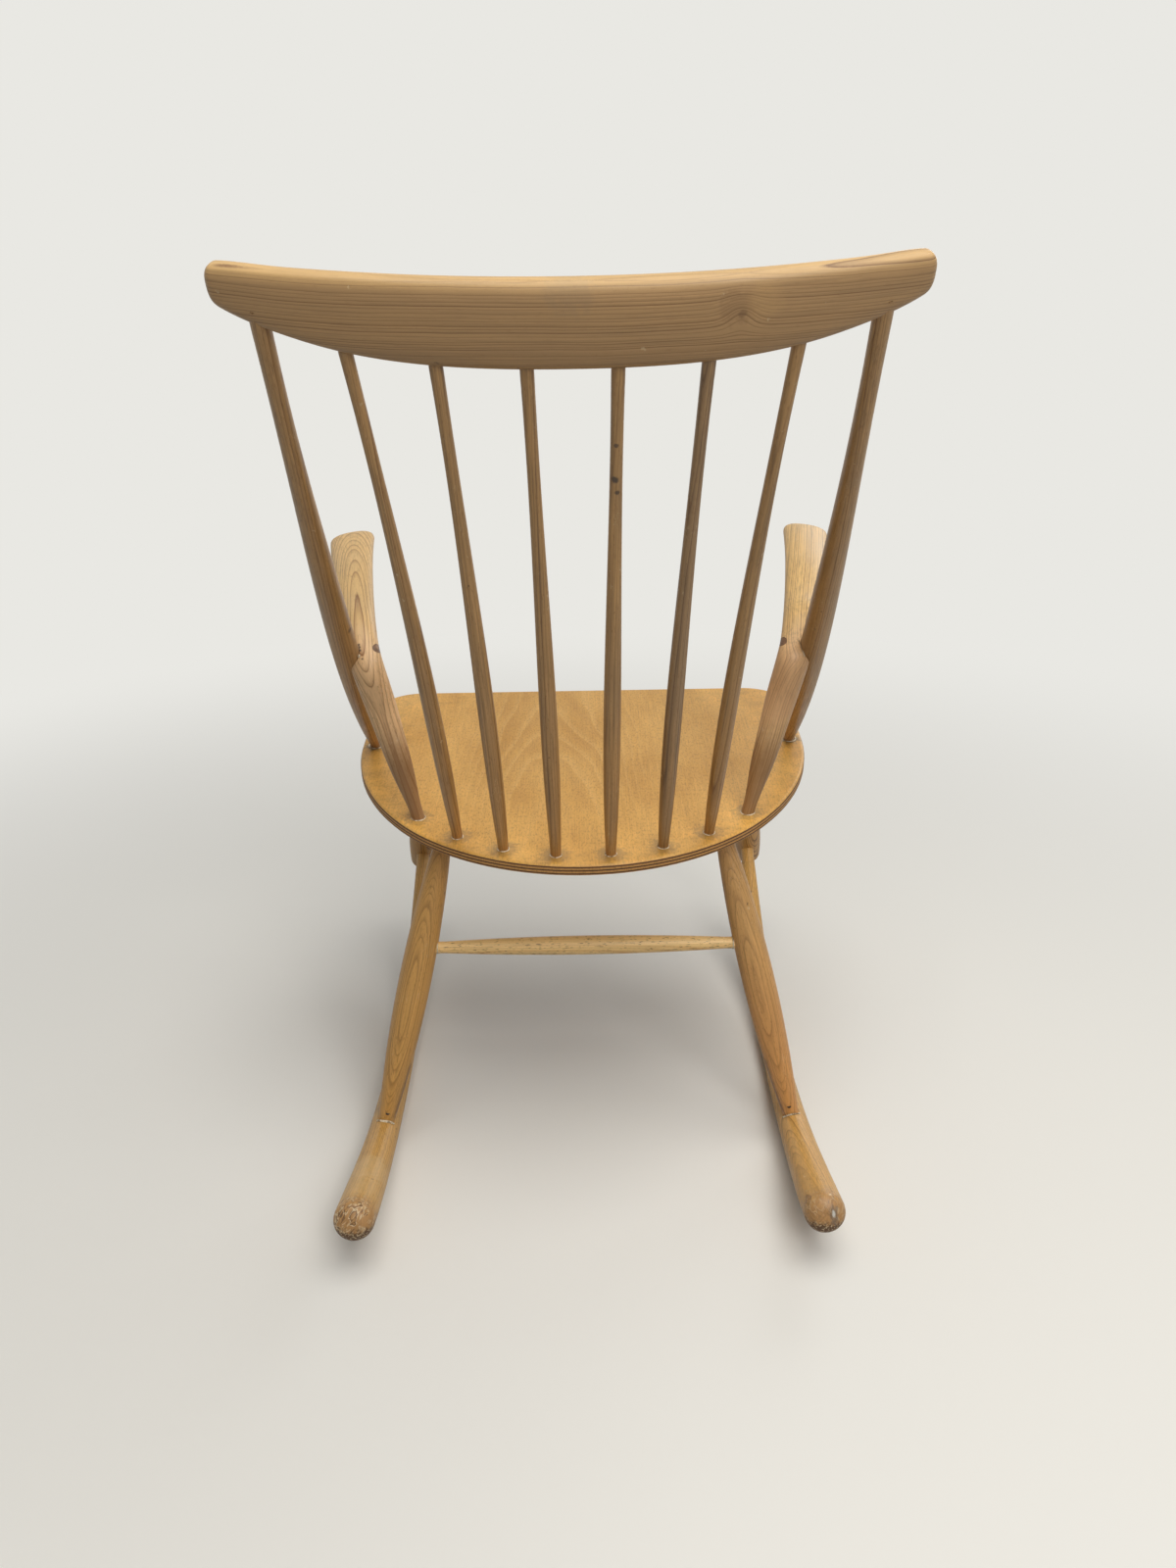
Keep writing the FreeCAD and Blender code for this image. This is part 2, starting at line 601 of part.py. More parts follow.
for side, sign in SIDES:
    label = side + "_front_leg"
    joint = runner_station(sign, -size("runner_front"), "runner_nose")
    line, start, reach = leg_line(sign, "front_leg_inset", front_y, joint.Base)
    distances = [start + size("leg_neck"), (start + reach) / 2, reach, reach + size("front_leg_below")]
    widths = ["Sizes.front_leg_" + part for part in ("top", "middle", "belly", "foot")]
    body, places, head_bore = turned_leg(label, line, start, distances, widths)
    bearer_bores["front"].append(head_bore)
    doc.recompute()
    round_end(body, label + "_end", lambda edge: on_plane(edge, places[3]), "Sizes.front_leg_round")
    inside = size("runner_tenon") - size("front_leg_belly") / 2
    nose_place = lifted(joint, -inside - size("end_relief"))
    nose_length = "Sizes.runner_tenon + Sizes.front_leg_belly + Sizes.end_relief"
    cut(label, body, [bore(side + "_nose_bore", nose_place, "Sizes.runner_nose", nose_length)])

    neck_end = size("front_leg_belly") / 2 + size("stick_neck")
    bend = [(lifted(joint, neck_end), "Sizes.runner_nose")]
    front, heel, rear = -size("runner_front"), size("rear_leg_foot_back"), size("runner_rear")
    stations = [(front / 2, "middle"), (front / 4, "waist"), (0, "sole")]
    stations += [(heel, "heel"), ((heel + rear) / 2, "club"), (rear, "tip")]
    for distance, part in stations:
        bend.append((runner_station(sign, distance, "runner_" + part), "Sizes.runner_" + part))
    runner, sketches = swelling(side + "_runner_bend", bend)
    pad(runner, side + "_runner_nose", sketches[0], "Sizes.runner_tenon + Sizes.stick_neck", True)
    doc.recompute()
    tip_place = bend[-1][0]
    round_end(runner, side + "_runner_tip", lambda edge: on_plane(edge, tip_place), "Sizes.runner_tip_round")
    cut(side + "_runner", runner, runner_cuts[side])


# Bearers, each a batten with a hole for every leg and countersunk screws up into the seat

def screw_cone(name, place, gap):
    cone = doc.addObject("Part::Cone", name)
    cone.setExpression("Radius1", "Sizes.screw_head / 2 + " + gap)
    cone.setExpression("Radius2", "Sizes.screw_shank / 2 + " + gap)
    cone.setExpression("Height", "(Sizes.screw_head - Sizes.screw_shank) / 2")
    cone.Placement = place
    return cone


screws = []
for end, y in (("rear", rear_y), ("front", front_y)):
    inset = end + "_leg_inset"
    batten = doc.addObject("Part::Box", end + "_batten")
    batten.setExpression("Length", "Sizes.seat_width + 2 * (Sizes.bearer_end - Sizes.%s)" % inset)
    batten.setExpression("Width", "Sizes.bearer_width")
    batten.setExpression("Height", "Sizes.bearer_thickness")
    under_seat = -size("seat_thickness") - size("bearer_thickness")
    corner_x = size(inset) - seat_half - size("bearer_end")
    corner = Vector(corner_x, y - size("bearer_width") / 2, under_seat)
    batten.Placement = seat_place * Placement(corner, Rotation())
    doc.recompute()
    rounded = doc.addObject("Part::Fillet", end + "_bearer_blank")
    rounded.Base = batten
    upright = []
    for number, edge in enumerate(batten.Shape.Edges, 1):
        if abs(edge.tangentAt(edge.FirstParameter).dot(seat_down)) > 1 - NEAR:
            upright.append((number, size("bearer_round"), size("bearer_round")))
    rounded.Edges = upright
    tools = bearer_bores[end]
    for number in range(SCREWS_PER_BEARER):
        x = (number - (SCREWS_PER_BEARER - 1) / 2) * size("screw_step")
        place = seat_place * Placement(Vector(x, y, under_seat), Rotation())
        name = "%s_screw_%d" % (end, number + 1)
        screw = doc.addObject("Part::Fuse", name)
        screw.Base = rod(name + "_shank", place, "Sizes.screw_shank", "Sizes.screw_length")
        screw.Tool = screw_cone(name + "_head", place, "0")
        screws.append(screw)
        hole_length = "Sizes.screw_length + Sizes.end_relief"
        hole = rod(name + "_hole", place, "Sizes.screw_shank", hole_length, "Sizes.fastener_gap")
        tools += [hole, screw_cone(name + "_sink", place, "Sizes.fastener_gap")]
        seat_bores.append(hole)
    cut(end + "_bearer", rounded, tools)
group("bearer_screws", screws)


# Seat: straight front with round corners, sides that curve in and a tighter rear curve

def seat_arc(centre, radius, start, end):
    return Part.ArcOfCircle(Part.Circle(centre, UPWARD, radius), start, end)


def seat_outline(body):
    half = seat_half
    rear = stick_circle + size("rim_margin")
    front = rear - size("seat_depth")
    corner = size("seat_corner")
    rear_radius = half - size("seat_rear_tighter")
    side_radius = half + size("seat_side_slower")
    join = math.acos((side_radius - half) / (side_radius - rear_radius))
    rear_centre = Vector(0, rear - rear_radius, 0)
    side_y = rear_centre.y - (side_radius - rear_radius) * math.sin(join)
    left_centre = Vector(side_radius - half, side_y, 0)
    right_centre = Vector(half - side_radius, side_y, 0)
    left_front = Vector(corner - half, front + corner, 0)
    right_front = Vector(half - corner, front + corner, 0)
    quarter = math.pi / 2
    sketch = body.newObject("Sketcher::SketchObject", "seat_outline")
    sketch.AttachmentSupport = [(base_plane(body), "")]
    sketch.MapMode = "FlatFace"
    curves = [seat_arc(rear_centre, rear_radius, join, math.pi - join)]
    curves.append(seat_arc(left_centre, side_radius, math.pi - join, math.pi))
    curves.append(Part.LineSegment(Vector(-half, side_y, 0), Vector(-half, left_front.y, 0)))
    curves.append(seat_arc(left_front, corner, math.pi, 3 * quarter))
    curves.append(Part.LineSegment(Vector(left_front.x, front, 0), Vector(right_front.x, front, 0)))
    curves.append(seat_arc(right_front, corner, 3 * quarter, 4 * quarter))
    curves.append(Part.LineSegment(Vector(half, right_front.y, 0), Vector(half, side_y, 0)))
    curves.append(seat_arc(right_centre, side_radius, 0, join))
    sketch.addGeometry(curves, False)
    for first in range(len(curves)):
        sketch.addConstraint(Sketcher.Constraint("Tangent", first, 2, (first + 1) % len(curves), 1))
    rules = [("Vertical", 2), ("Horizontal", 4), ("PointOnObject", 0, 3, -2)]
    rules += [("Equal", 1, 7), ("Equal", 3, 5)]
    for rule in rules:
        sketch.addConstraint(Sketcher.Constraint(*rule))
    rear_radius_text = "Sizes.seat_width / 2 - Sizes.seat_rear_tighter"
    side_radius_text = "Sizes.seat_width / 2 + Sizes.seat_side_slower"
    drives = [("rear_radius", ("Radius", 0, rear_radius), rear_radius_text)]
    drives.append(("side_radius", ("Radius", 1, side_radius), side_radius_text))
    drives.append(("corner", ("Radius", 3, corner), "Sizes.seat_corner"))
    drives.append(("width", ("DistanceX", 2, 1, 6, 2, 2 * half), "Sizes.seat_width"))
    centre_text = "Sizes.rim_margin - Sizes.stick_inset + Sizes.seat_rear_tighter"
    drives.append(("centre", ("DistanceY", -1, 1, 0, 3, rear_centre.y), centre_text))
    front_text = "Sizes.seat_depth - Sizes.seat_width / 2 + Sizes.stick_inset - Sizes.rim_margin"
    drives.append(("front", ("DistanceY", 4, 1, -1, 1, -front), front_text))
    for name, rule, expression in drives:
        index = sketch.addConstraint(Sketcher.Constraint(*rule))
        sketch.renameConstraint(index, name)
        sketch.setExpression("Constraints." + name, expression)
    return sketch


seat_body = doc.addObject("PartDesign::Body", "seat_ply")
pad(seat_body, "seat_board", seat_outline(seat_body), "Sizes.seat_thickness", True)
doc.recompute()
round_end(seat_body, "seat_rounding", lambda edge: edge.BoundBox.ZLength < NEAR, "Sizes.seat_edge_round")
seat_body.Placement = seat_place
cut("seat", seat_body, seat_bores)

# Stand the chair on the floor with its middle over the origin

doc.recompute()
box = FreeCAD.BoundBox()
for piece in pieces.values():
    box.add(piece.Shape.optimalBoundingBox(False, False))
middle = Placement(Vector(-box.Center.x, -box.Center.y, -box.ZMin), Rotation())
for label, piece in pieces.items():
    piece.Label = label
    piece.Placement = middle * piece.Placement
doc.recompute()

for thing in doc.Objects:
    if "Invalid" in thing.State or "Error" in thing.State:
        raise RuntimeError("%s failed: %s" % (thing.Name, thing.State))
os.makedirs("parts", exist_ok=True)
for label, piece in pieces.items():
    if piece.Shape.isNull() or not piece.Shape.isValid():
        raise RuntimeError(label + " has no valid shape")
    piece.Shape.exportStep("parts/%s.step" % label)
    print(label, round(piece.Shape.Volume / 1000, 1), "cm3", len(piece.Shape.Solids), "solids")
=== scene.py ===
import bpy
import math
from mathutils import Matrix, Vector


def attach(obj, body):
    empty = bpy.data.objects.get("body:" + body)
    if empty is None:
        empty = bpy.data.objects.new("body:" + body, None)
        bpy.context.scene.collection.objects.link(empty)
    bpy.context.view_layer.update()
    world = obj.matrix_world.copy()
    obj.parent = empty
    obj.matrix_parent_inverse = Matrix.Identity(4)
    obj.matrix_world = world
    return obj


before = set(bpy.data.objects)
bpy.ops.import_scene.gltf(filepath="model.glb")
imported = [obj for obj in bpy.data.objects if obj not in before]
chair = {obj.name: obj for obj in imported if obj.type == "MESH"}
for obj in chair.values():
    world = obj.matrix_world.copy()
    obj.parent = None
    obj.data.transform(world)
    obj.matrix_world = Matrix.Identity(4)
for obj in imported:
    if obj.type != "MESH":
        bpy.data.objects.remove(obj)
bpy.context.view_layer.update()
scene = bpy.context.scene
scene.view_settings.view_transform = "Standard"
bpy.ops.object.select_all(action="DESELECT")
sideSign = {"left": 1, "right": -1}  # the sitter's left is towards +X
print("frame loaded:", len(chair), "pieces")


# small helpers for node trees

def tone(red, green, blue):  # a screen colour, 0 to 255, as the shader wants it
    shares = [c / 255 for c in (red, green, blue)]
    linear = [c / 12.92 if c < 0.0404 else ((c + 0.055) / 1.055) ** 2.4 for c in shares]
    return (*linear, 1.0)


def addNode(tree, kind, settings=None, inputs=None):
    item = tree.nodes.new(kind)
    for key, value in (settings or {}).items():
        setattr(item, key, value)
    for key, value in (inputs or {}).items():
        if isinstance(value, bpy.types.NodeSocket):
            tree.links.new(value, item.inputs[key])
        else:
            item.inputs[key].default_value = value
    return item


def calc(tree, operation, *values):
    return addNode(tree, "ShaderNodeMath", {"operation": operation}, dict(enumerate(values))).outputs[0]


def times(tree, first, *others):
    for other in others:
        first = calc(tree, "MULTIPLY", first, other)
    return first


def vectorCalc(tree, operation, *values):
    item = addNode(tree, "ShaderNodeVectorMath", {"operation": operation}, dict(enumerate(values)))
    return item.outputs["Value" if operation in ("LENGTH", "DISTANCE", "DOT_PRODUCT") else "Vector"]


def scaled(tree, vector, factors):
    return vectorCalc(tree, "MULTIPLY", vector, factors)


def split(tree, vector):
    return addNode(tree, "ShaderNodeSeparateXYZ", inputs={0: vector}).outputs


def join(tree, **parts):
    return addNode(tree, "ShaderNodeCombineXYZ", inputs=parts).outputs[0]


def remap(tree, value, low, high, toLow=0.0, toHigh=1.0, smooth=True):
    settings = {"interpolation_type": "SMOOTHSTEP" if smooth else "LINEAR"}
    inputs = {"Value": value, "From Min": low, "From Max": high, "To Min": toLow, "To Max": toHigh}
    return addNode(tree, "ShaderNodeMapRange", settings, inputs).outputs["Result"]


def blend(tree, factor, first, second, mode="MIX"):
    settings = {"data_type": "RGBA", "blend_type": mode, "clamp_factor": True}
    return addNode(tree, "ShaderNodeMix", settings, {0: factor, 6: first, 7: second}).outputs[2]


def layOver(tree, color, mask, depth, shade):  # a shade laid over a colour where a mask says
    return blend(tree, times(tree, mask, depth), color, shade)


def ramp(tree, value, stops, kind="EASE"):
    item = addNode(tree, "ShaderNodeValToRGB", inputs={"Fac": value})
    item.color_ramp.interpolation = kind
    points = item.color_ramp.elements
    while len(points) < len(stops):
        points.new(0.5)
    for point, (position, color) in zip(points, stops):
        point.position = position
        point.color = color if isinstance(color, tuple) else (color, color, color, 1)
    return item.outputs["Color"]


def noise(tree, vector, scale, detail=2.0, roughness=0.5, seed=None, output=0):
    inputs = {"Vector": vector, "Scale": scale, "Detail": detail, "Roughness": roughness}
    if seed is not None:
        inputs["W"] = seed
    settings = {"noise_dimensions": "3D" if seed is None else "4D"}
    return addNode(tree, "ShaderNodeTexNoise", settings, inputs).outputs[output]


def line(tree, value, at, width):  # a thin line where a value crosses a level
    return remap(tree, calc(tree, "ABSOLUTE", calc(tree, "SUBTRACT", value, at)), 0.0, width, 1.0, 0.0)


def drawnOut(tree, vector, direction, stretch):  # space pulled out along a direction, so noise makes strokes
    along = vectorCalc(tree, "DOT_PRODUCT", vector, direction)
    return vectorCalc(tree, "MULTIPLY_ADD", along, direction * (1 / stretch - 1), vector)


def onSide(sign, point):
    return Vector((sign * point[0], point[1], point[2]))


def newGroup(name, inputs, outputs):
    tree = bpy.data.node_groups.new(name, "ShaderNodeTree")
    for label, value in inputs:
        kind = "NodeSocketVector" if value is None else "NodeSocketFloat"
        socket = tree.interface.new_socket(label, in_out="INPUT", socket_type=kind)
        if value is not None:
            socket.default_value = value
    for label in outputs:
        tree.interface.new_socket(label, in_out="OUTPUT", socket_type="NodeSocketFloat")
    return tree, addNode(tree, "NodeGroupInput").outputs, addNode(tree, "NodeGroupOutput")


# solid wood: growth rings round a pith line along local Z, fine fibres and short ray flecks

def buildGrowthRings():
    tree, given, out = newGroup(
        "growthRings", [("Vector", None), ("Spacing", 0.003), ("Wander", 0.006), ("Taper", 0.02),
                        ("Lift", 0.0), ("Seed", 0.0)], ["Rings", "Fibre", "Flecks", "Patches"])
    vector, seed = given["Vector"], given["Seed"]
    drift = noise(tree, scaled(tree, vector, (1, 1, 0.35)), 11.0, 3.0, 0.5, seed, "Color")
    drift = vectorCalc(tree, "SUBTRACT", drift, (0.5, 0.5, 0.5))
    swing = addNode(tree, "ShaderNodeVectorMath", {"operation": "SCALE"}, {
        0: drift, "Scale": given["Wander"]})
    moved = vectorCalc(tree, "ADD", vector, swing.outputs["Vector"])
    radius = vectorCalc(tree, "LENGTH", scaled(tree, moved, (1, 1, 0)))
    radius = calc(tree, "ADD", radius, times(tree, split(tree, vector)["Z"], given["Taper"]))
    radius = calc(tree, "ADD", radius, given["Lift"])
    turns = calc(tree, "DIVIDE", radius, given["Spacing"])
    uneven = addNode(tree, "ShaderNodeTexNoise", {"noise_dimensions": "1D"}, {
        "W": turns, "Scale": 0.37, "Detail": 1.0})
    turns = calc(tree, "ADD", turns, times(tree, uneven.outputs[0], 1.8))  # some years grew wider than others
    saw = calc(tree, "FRACT", turns)
    late = ramp(tree, saw, [(0.0, 0.1), (0.5, 0.16), (0.78, 0.5), (0.9, 1.0), (0.97, 0.3), (1.0, 0.1)])
    year = calc(tree, "FLOOR", turns)
    yearly = addNode(tree, "ShaderNodeTexWhiteNoise", {"noise_dimensions": "1D"}, {"W": year})
    late = times(tree, late, remap(tree, yearly.outputs["Value"], 0, 1, 0.35, 1.0, False))
    tree.links.new(late, out.inputs["Rings"])
    streaks = noise(tree, scaled(tree, vector, (1, 1, 0.02)), 520.0, 3.0, 0.62, seed)
    tree.links.new(streaks, out.inputs["Fibre"])
    dashes = noise(tree, scaled(tree, vector, (1, 1, 0.14)), 1100.0, 1.0, 0.5, seed)
    tree.links.new(remap(tree, dashes, 0.6, 0.7), out.inputs["Flecks"])
    broad = noise(tree, scaled(tree, vector, (1, 1, 0.3)), 24.0, 3.0, 0.55, seed)
    tree.links.new(broad, out.inputs["Patches"])
    return tree


# years of use: small pale nicks, dark specks and thin scuffs

def buildUseMarks():
    tree, given, out = newGroup(
        "useMarks", [("Vector", None), ("Amount", 0.5), ("Seed", 0.0)], ["Nicks", "Specks", "Scuffs"])
    seed, amount = given["Seed"], given["Amount"]
    place = vectorCalc(tree, "ADD", given["Vector"], join(tree, X=seed, Y=seed, Z=seed))
    for label, scale, size, limit in (("Nicks", 110.0, 0.09, 0.97), ("Specks", 75.0, 0.06, 0.96)):
        wobble = noise(tree, place, scale * 4, 1.0, output="Color")
        wobbly = vectorCalc(tree, "ADD", place, scaled(tree, wobble, (0.004, 0.004, 0.007)))
        cells = addNode(tree, "ShaderNodeTexVoronoi", {"feature": "F1"}, {"Vector": wobbly, "Scale": scale})
        pick = addNode(tree, "ShaderNodeSeparateColor", inputs={0: cells.outputs["Color"]}).outputs[0]
        chosen = calc(tree, "GREATER_THAN", calc(tree, "ADD", pick, times(tree, amount, 0.1)), limit)
        dot = remap(tree, cells.outputs["Distance"], size, size * 2.2, 1.0, 0.0)
        tree.links.new(times(tree, dot, chosen), out.inputs[label])
    lines = noise(tree, scaled(tree, place, (1, 1, 0.2)), 260.0, 2.0, 0.6)
    region = noise(tree, place, 31.0)
    scuff = times(tree, line(tree, lines, 0.5, 0.018), remap(tree, region, 0.58, 0.7))
    tree.links.new(scuff, out.inputs["Scuffs"])
    return tree


# one ragged soft spot at a point of the chair

def buildSoftSpot():
    tree, given, out = newGroup(
        "softSpot", [("Vector", None), ("Centre", None), ("Radius", 0.004), ("Ragged", 0.002)], ["Mask"])
    wobble = calc(tree, "SUBTRACT", noise(tree, given["Vector"], 210.0, 3.0), 0.5)
    distance = vectorCalc(tree, "DISTANCE", given["Vector"], given["Centre"])
    distance = calc(tree, "ADD", distance, times(tree, wobble, given["Ragged"]))
    inner, outer = times(tree, given["Radius"], 0.5), times(tree, given["Radius"], 1.2)
    tree.links.new(remap(tree, distance, inner, outer, 1.0, 0.0), out.inputs["Mask"])
    return tree


growthRings, useMarks, softSpot = buildGrowthRings(), buildUseMarks(), buildSoftSpot()
print("grain and wear groups made")


def spot(tree, coords, centre, radius, ragged):
    inputs = {"Vector": coords, "Centre": centre, "Radius": radius, "Ragged": ragged}
    return addNode(tree, "ShaderNodeGroup", {"node_tree": softSpot}, inputs).outputs["Mask"]


# grain frames: local Z along the wood, local X towards the given side

def endsOf(name, axis, share=0.07):
    points = [v.co for v in chair[name].data.vertices]
    low, high = min(p[axis] for p in points), max(p[axis] for p in points)
    band = (high - low) * share
    first = [p for p in points if p[axis] < low + band]
    last = [p for p in points if p[axis] > high - band]
    return sum(first, Vector()) / len(first), sum(last, Vector()) / len(last)


def grainFrame(start, end, side, pith, turn, tilt):
    z = (end - start).normalized()
    x = (side - z * side.dot(z)).normalized()
    basis = Matrix((x, z.cross(x), z)).transposed() @ Matrix.Rotation(math.radians(tilt), 3, "Y")
    offset = Vector((math.cos(math.radians(turn)), math.sin(math.radians(turn)), 0)) * pith
    return (start + end) / 2 + basis @ offset, basis.to_euler()


def localPlace(tree, coords, origin, angles, bend=0.0):
    mapping = addNode(tree, "ShaderNodeMapping", {"vector_type": "TEXTURE"}, {
        "Vector": coords, "Location": origin, "Rotation": angles})
    place = mapping.outputs[0]
    if bend:
        along = split(tree, place)["Z"]
        place = vectorCalc(tree, "ADD", place, join(tree, X=times(tree, along, along, bend)))
    return place


def elbowPlace(tree, coords, look):  # grain that turns with the arm from its stick into its paddle
    foot, elbow, tip = look["elbow"]
    places = []
    for run, face in ((elbow - foot, (0, 1, 0)), (tip - elbow, (0, 0, 1))):
        origin, angles = grainFrame(elbow - run, elbow + run, Vector(face), look["pith"], look["turn"], 0.0)
        places.append(localPlace(tree, coords, origin, angles))
    course = ((elbow - foot).normalized() + (tip - elbow).normalized()).normalized()
    along = vectorCalc(tree, "DOT_PRODUCT", vectorCalc(tree, "SUBTRACT", coords, elbow), course)
    share = remap(tree, along, -look["elbowReach"], look["elbowReach"])
    change = vectorCalc(tree, "SUBTRACT", places[1], places[0])
    place = vectorCalc(tree, "MULTIPLY_ADD", change, share, places[0])
    return ovalFigure(tree, place, look["pith"], look["oval"]) if "oval" in look else place


def ovalFigure(tree, place, pith, oval):  # long ovals on the paddle that end in even tongues down the stick
    parts = split(tree, place)
    above = calc(tree, "MAXIMUM", calc(tree, "SUBTRACT", parts["Z"], oval["top"]), 0.0)
    below = calc(tree, "SUBTRACT", oval["bottom"], parts["Z"])
    below = calc(tree, "SMOOTH_MAX", below, 0.0, oval["soft"])
    below = calc(tree, "SMOOTH_MIN", below, oval["tongues"], oval["soft"])
    lift = calc(tree, "ADD", times(tree, above, above, oval["rise"]), times(tree, below, oval["slope"]))
    lift = calc(tree, "ADD", lift, pith * (1 - oval["flat"]))
    x = calc(tree, "ADD", times(tree, parts["X"], oval["flat"]), lift)
    return join(tree, X=x, Y=parts["Y"], Z=parts["Z"])


def newMaterial(name):
    material = bpy.data.materials.new(name)
    material.use_nodes = True
    tree = material.node_tree
    tree.nodes.clear()
    surface = addNode(tree, "ShaderNodeBsdfPrincipled")
    addNode(tree, "ShaderNodeOutputMaterial", inputs={"Surface": surface.outputs[0]})
    coords = addNode(tree, "ShaderNodeTexCoord").outputs["Object"]
    return material, tree, surface, coords


def dress(name, material):
    for slot in chair[name].material_slots:
        slot.material = material


# one look for all the beech, with a dictionary of its own for each piece

beechLook = {
    "light": tone(204, 160, 100), "dark": tone(144, 96, 48), "fleck": tone(118, 76, 36),
    "bare": tone(230, 208, 168), "stain": tone(66, 46, 30),
    "along": 2, "face": (0, 1, 0), "pith": 0.05, "turn": 0.0, "tilt": 0.0, "bend": 0.0, "seed": 0.0,
    "spacing": 0.0030, "wander": 0.006, "taper": 0.015,
    "ringDepth": 0.9, "fibreDepth": 0.6, "fleckDepth": 0.4, "patchDepth": 0.8,
    "wear": 0.3, "nickDepth": 0.35, "speckDepth": 0.6,
    "rough": 0.46, "roughSpread": (-0.05, 0.07), "ringRough": 0.06, "coat": 0.15, "coatRough": 0.25,
    "relief": 0.3, "reliefHeight": 0.0005, "fibreHeight": 0.5, "ringHeight": -0.35, "nickHeight": 1.5}


def beech(name, look, finish=None):
    material, tree, surface, coords = newMaterial(name + "Beech")
    if "elbow" in look:
        place = elbowPlace(tree, coords, look)
    else:
        start, end = endsOf(name, look["along"])
        face = Vector(look["face"])
        origin, angles = grainFrame(start, end, face, look["pith"], look["turn"], look["tilt"])
        place = localPlace(tree, coords, origin, angles, look["bend"])
    figure = addNode(tree, "ShaderNodeGroup", {"node_tree": growthRings}, {
        "Vector": place, "Spacing": look["spacing"], "Wander": look["wander"],
        "Taper": look["taper"], "Seed": look["seed"]})
    if "knot" in look:
        knot = look["knot"]
        flat = scaled(tree, vectorCalc(tree, "SUBTRACT", coords, knot["at"]), (1, 0, 1))
        away = calc(tree, "DIVIDE", vectorCalc(tree, "LENGTH", flat), knot["reach"])
        swell = calc(tree, "EXPONENT", times(tree, away, away, -1.0))
        tree.links.new(times(tree, swell, knot["swell"]), figure.inputs["Lift"])
    use = addNode(tree, "ShaderNodeGroup", {"node_tree": useMarks}, {
        "Vector": place, "Amount": look["wear"], "Seed": look["seed"]}).outputs
    rings, fibre, flecks, patches = [figure.outputs[k] for k in ("Rings", "Fibre", "Flecks", "Patches")]
    cloudy = ramp(tree, patches, [(0.3, 0.78), (0.5, 1.0), (0.72, 1.14)])
    streaky = ramp(tree, fibre, [(0.3, 0.6), (0.5, 1.0), (0.7, 1.25)])
    color = layOver(tree, look["light"], rings, look["ringDepth"], look["dark"])
    color = blend(tree, look["patchDepth"], color, cloudy, "MULTIPLY")
    color = blend(tree, look["fibreDepth"], color, streaky, "MULTIPLY")
    color = layOver(tree, color, flecks, look["fleckDepth"], look["fleck"])
    color = layOver(tree, color, use["Nicks"], look["nickDepth"], look["bare"])
    color = layOver(tree, color, use["Specks"], look["speckDepth"], look["stain"])
    color = layOver(tree, color, use["Scuffs"], look["wear"], look["bare"])
    for centre, radius, ragged, shade, depth in look.get("marks", ()):
        color = layOver(tree, color, spot(tree, coords, centre, radius, ragged), depth, shade)
    if "grade" in look:  # another tint below a height
        low, high, tint = look["grade"]
        under = remap(tree, split(tree, coords)["Z"], low, high, 1.0, 0.0)
        color = blend(tree, under, color, tint, "MULTIPLY")
    least, most = [look["rough"] + change for change in look["roughSpread"]]
    rough = remap(tree, patches, 0.3, 0.7, least, most, False)
    rough = calc(tree, "ADD", rough, times(tree, rings, look["ringRough"]))
    height = times(tree, fibre, look["fibreHeight"])
    height = calc(tree, "ADD", height, times(tree, rings, look["ringHeight"]))
    height = calc(tree, "SUBTRACT", height, times(tree, use["Nicks"], look["nickHeight"]))
    if finish:
        color, rough, height = finish(tree, coords, color, rough, height, look)
    tree.links.new(color, surface.inputs["Base Color"])
    tree.links.new(rough, surface.inputs["Roughness"])
    surface.inputs["Coat Weight"].default_value = look["coat"]
    surface.inputs["Coat Roughness"].default_value = look["coatRough"]
    bump = addNode(tree, "ShaderNodeBump", inputs={
        "Height": height, "Strength": look["relief"], "Distance": look["reliefHeight"]})
    tree.links.new(bump.outputs[0], surface.inputs["Normal"])
    dress(name, material)


# spindles and posts; a mark is its centre, radius, raggedness, colour and depth

rear = (0, 1, -0.4)  # the side of the back that the camera sees
spindleLook = dict(
    beechLook, light=tone(180, 141, 92), dark=tone(116, 80, 44), face=rear, spacing=0.0028,
    fibreDepth=0.9, ringDepth=1.0, grade=(0.42, 0.62, (1.06, 0.97, 0.78, 1)))
spindleWear = (0.2, 0.3, 0.3, 0.45, 0.6, 0.7)
spindleOwn = {
    4: {"marks": [((-0.0313, 0.3505, 0.8045), 0.0022, 0.002, tone(58, 42, 30), 0.8),
                  ((-0.0299, 0.337, 0.7776), 0.0034, 0.004, tone(52, 40, 30), 0.9),
                  ((-0.0322, 0.332, 0.7673), 0.0024, 0.003, tone(58, 42, 30), 0.85)]},
    5: {"light": tone(166, 133, 94), "dark": tone(92, 66, 42), "fibreDepth": 1.0}}  # the greyest one
for number, wear in enumerate(spindleWear, 1):
    turn, pith = 70.0 + 14.0 * number, 0.05 + 0.006 * number
    look = dict(spindleLook, seed=1.7 * number, turn=turn, pith=pith, wear=wear)
    beech("spindle_%d" % number, {**look, **spindleOwn.get(number, {})})

postLook = dict(spindleLook, pith=0.09, fibreDepth=0.75, grade=(0.42, 0.5, (0.98, 1.02, 1.15, 1)))
postSides = {
    "left": {"seed": 3.1, "turn": 80.0,
             "marks": [((0.2229, 0.1126, 0.6068), 0.0034, 0.004, tone(74, 50, 34), 0.7)]},
    "right": {"seed": 7.4, "turn": 105.0}}
for side, own in postSides.items():
    beech(side + "_post", {**postLook, **own})
print("spindles and posts dressed")
